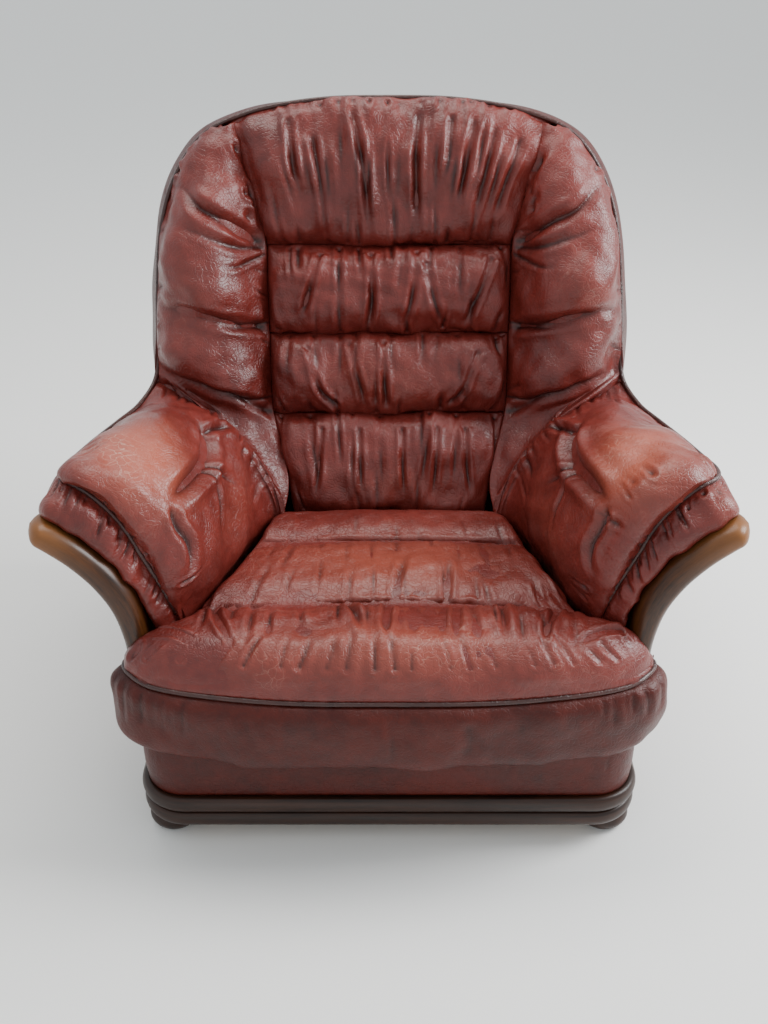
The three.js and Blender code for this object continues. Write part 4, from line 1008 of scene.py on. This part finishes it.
# the facing's middle line from its foot to its nose: x, z and its width there
FACING_SWEEP = np.array(
    [
        (371, 100, 30), (372, 190, 31), (380, 290, 38), (384, 352, 40), (396, 408, 43), (421, 456, 45),
        (454, 494, 44), (487, 521, 42), (508, 534, 37), (521, 541, 26),
    ]
)
FACING_MIDDLE_Y = -298.0
FACING_HALF_DEPTH = 36.0
FACING_LENGTH = 640  # along its sweep
ROUNDING = 0.72  # 1 is an ellipse, and less is squarer
NOSE_SHARE = 0.05  # the share of its length over which the nose rounds off
WORN_FROM = 0.72  # and where along it the bare wood starts
STEPS = 150
for side, sign in SIDES:
    # the section is a superellipse, u across the sweep and v along y, and its nose a quarter circle
    line = smooth_line(FACING_SWEEP, STEPS)
    turn = np.linspace(0, 2 * np.pi, 44, endpoint=False)
    c, s = np.cos(turn), np.sin(turn)
    fall = np.clip((1 - np.linspace(0, 1, STEPS)) / NOSE_SHARE, 0, 1)
    nose = np.sqrt(1 - (1 - fall) ** 2)
    deep = FACING_HALF_DEPTH * np.minimum(1, line[:, 2] / 45 * 1.15)
    u = np.sign(c) * np.abs(c) ** ROUNDING * (line[:, 2] / 2 * nose)[:, None]
    v = np.sign(s) * np.abs(s) ** ROUNDING * (deep * nose)[:, None]
    path = np.stack([line[:, 0], np.full(STEPS, FACING_MIDDLE_Y), line[:, 1]], axis=1)
    way = np.gradient(path, axis=0)
    way /= np.linalg.norm(way, axis=1, keepdims=True)
    side_way = np.stack([-way[:, 2], np.zeros(STEPS), way[:, 0]], axis=1)
    rings = path[:, None] + side_way[:, None] * u[..., None] + np.array([0, 1.0, 0]) * v[..., None]
    along = np.linspace(0, FACING_LENGTH, STEPS)[:, None] + 0 * u
    grain = np.stack([along, u + 200 * sign, v], axis=-1)
    name = f"arm_facing_wood_{side}"
    piece = ring_object(name, rings * (sign, 1, 1), facing_wood, [f"arm_facing_{side}"], grain)
    nose_wear = np.clip((np.linspace(0, 1, STEPS) - WORN_FROM) / 0.28, 0, 1)[:, None] * 0.9
    wear = nose_wear + np.clip(-v / 40, 0, 1) * 0.12
    values = np.concatenate([wear.ravel(), [0.0, 0.9]]).astype(np.float32)
    piece.data.attributes.new("wear", "FLOAT", "POINT").data.foreach_set("value", values)


def bead(low, high, base, reach, count=15):
    """Half a round moulding: (out, up) points whose up goes from low to high as 1 - cos does, and whose
    out is base + reach * sin^0.85 of the same angle."""
    s = np.linspace(0, np.pi, count)
    return np.stack([base + reach * np.sin(s) ** 0.85, low + (high - low) * (1 - np.cos(s)) / 2], axis=1)


PLINTH_BASE = 39.0
PLINTH_HIGH = 57.5
lower_bead, upper_bead = bead(0, 26, 9.0, 8.0), bead(29, PLINTH_HIGH, 9.5, 9.0)
BEAD_PROFILE = np.concatenate([[(0.0, 0.0)], lower_bead, upper_bead, [(0.0, PLINTH_HIGH)]])


def plinth_piece(name, path, ways, replaced):
    """The double bead run along a path in plan: each ring is a path point plus the profile's out times the
    path's direction there, with the profile's up as its height."""
    rings = np.zeros((len(path), len(BEAD_PROFILE), 3))
    rings[..., :2] = path[:, None] + ways[:, None] * BEAD_PROFILE[None, :, :1]
    rings[..., 2] = PLINTH_BASE + BEAD_PROFILE[None, :, 1]
    run = np.concatenate([[0], np.cumsum(np.linalg.norm(np.diff(path, axis=0), axis=1))])
    still = 0 * rings[..., 0]
    grain = np.stack([run[:, None] + still, rings[..., 2], BEAD_PROFILE[None, :, 0] + still], axis=-1)
    return ring_object(name, rings, plinth_wood, replaced, grain)


plinth_piece("plinth_front_moulding", *corner_path(0.5, -300.0), ["plinth_front"])
for side, sign in SIDES:
    ends = np.array([(380.5 * sign, -299.5), (380.5 * sign, 404.0)])
    outward = np.array([(sign, 0.0), (sign, 0.0)])
    plinth_piece(f"plinth_moulding_{side}", ends, outward, [f"plinth_{side}"])

# ---- Feet ----
# Bun feet turned in beech and stained like the plinth, each drawn up by one bolt under a corner of the
# frame. They are widest at mid height, with a small flat to stand on.
FOOT_PROFILE = [
    (25, 0), (30, 1.5), (36, 6), (40, 13), (41, 19), (39.5, 26), (35.5, 32.5), (31, 36.5), (29, 38),
]
FOOT_PLACES = {
    "front_right": (350, -340), "front_left": (-350, -340),
    "rear_right": (350, 352), "rear_left": (-350, 352),
}
for name, (x, y) in FOOT_PLACES.items():
    # radius and height of the profile, turned through a full circle
    profile = smooth_line(FOOT_PROFILE, 26)
    turn = np.linspace(0, 2 * np.pi, 48, endpoint=False)
    up = profile[:, 1:] + 0 * turn
    rings = np.stack([x + profile[:, :1] * np.cos(turn), y + profile[:, :1] * np.sin(turn), up], axis=-1)
    grain = np.stack([up, rings[..., 0] - x, rings[..., 1] - y], axis=-1) + (x, y, 0)
    ring_object(f"foot_wood_{name}", rings, plinth_wood, [f"foot_{name}"], grain)

# ---- Frame, springs and lining ----
# What is hidden in the seat and back keeps its plain shape: raw beech rails and blocks, zigzag springs
# of drawn steel wire, a grey felt pad, jute webbing and a black lining.
def plain_material(name, pattern, settings, dark, light, roughness, stretch=None):
    """A dull material: a pattern in place, or in place times stretch, ramped between two tones. dark and
    light are each (where on the ramp, colour)."""
    material, tree, shader = new_material(name)
    place = node(tree, "TexCoord").outputs["Object"]
    if stretch:
        place = node(tree, "Mapping", {"Scale": stretch}, Vector=place).outputs[0]
    made = node(tree, pattern, settings, Vector=place)
    stops = [(at, linear(colour)) for at, colour in (dark, light)]
    tones = node(tree, "ValToRGB", {"stops": stops}, _0=made.outputs["Fac"])
    tree.links.new(tones.outputs["Color"], shader.inputs["Base Color"])
    shader.inputs["Roughness"].default_value = roughness
    return material


# sawn beech, unfinished: dull, with streaks about 11 mm wide
raw_beech = plain_material(
    "raw_beech", "TexNoise", {"Scale": 1.0, "Detail": 5.0}, (0.35, "a9825a"), (0.65, "cfae82"), 0.7,
    (12.0, 60.0, 90.0),
)
# plain-woven jute with no shine: a wave's scale is counted in bands 0.31 m apart, so that its threads
# lie about 2 mm apart
woven = plain_material(
    "jute_webbing", "TexWave", {"Scale": 180.0, "bands_direction": "X"}, (0.2, "8d7750"), (0.8, "bca77c"), 0.9
)
# needled wool: an even grey fluff in tufts about 5 mm across
felt = plain_material(
    "grey_wool_felt", "TexNoise", {"Scale": 220.0, "Detail": 4.0}, (0.3, "7d7667"), (0.7, "a59c88"), 0.95
)
# spun-bonded lining: nearly black and matt, its fibres in clumps about 2.5 mm across
lining = plain_material(
    "black_lining_cloth", "TexNoise", {"Scale": 400.0, "Detail": 2.0}, (0.3, "1c1a19"), (0.7, "34312f"), 0.95
)
# drawn spring wire: bare metal with the dull shine that the die leaves
wire, tree, shader = new_material("drawn_steel_wire")
shader.inputs["Base Color"].default_value = linear("8b8e90")
shader.inputs["Metallic"].default_value = 1.0
shader.inputs["Roughness"].default_value = 0.4

# the finish of each plain piece, by how its name starts
FINISHES = {
    "seat_spring": wire, "foot_bolt": wire, "spring_felt": felt, "bottom_lining": lining, "back_web": woven,
    "corner_block": raw_beech, "seat_rail": raw_beech, "back_post": raw_beech, "back_top_rail": raw_beech,
    "back_low_rail": raw_beech, "arm_post": raw_beech, "arm_rail": raw_beech, "plinth_rear": plinth_wood,
}
for name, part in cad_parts.items():
    for start, finish in FINISHES.items():
        if name.startswith(start):
            for slot in part.material_slots:
                slot.material = finish
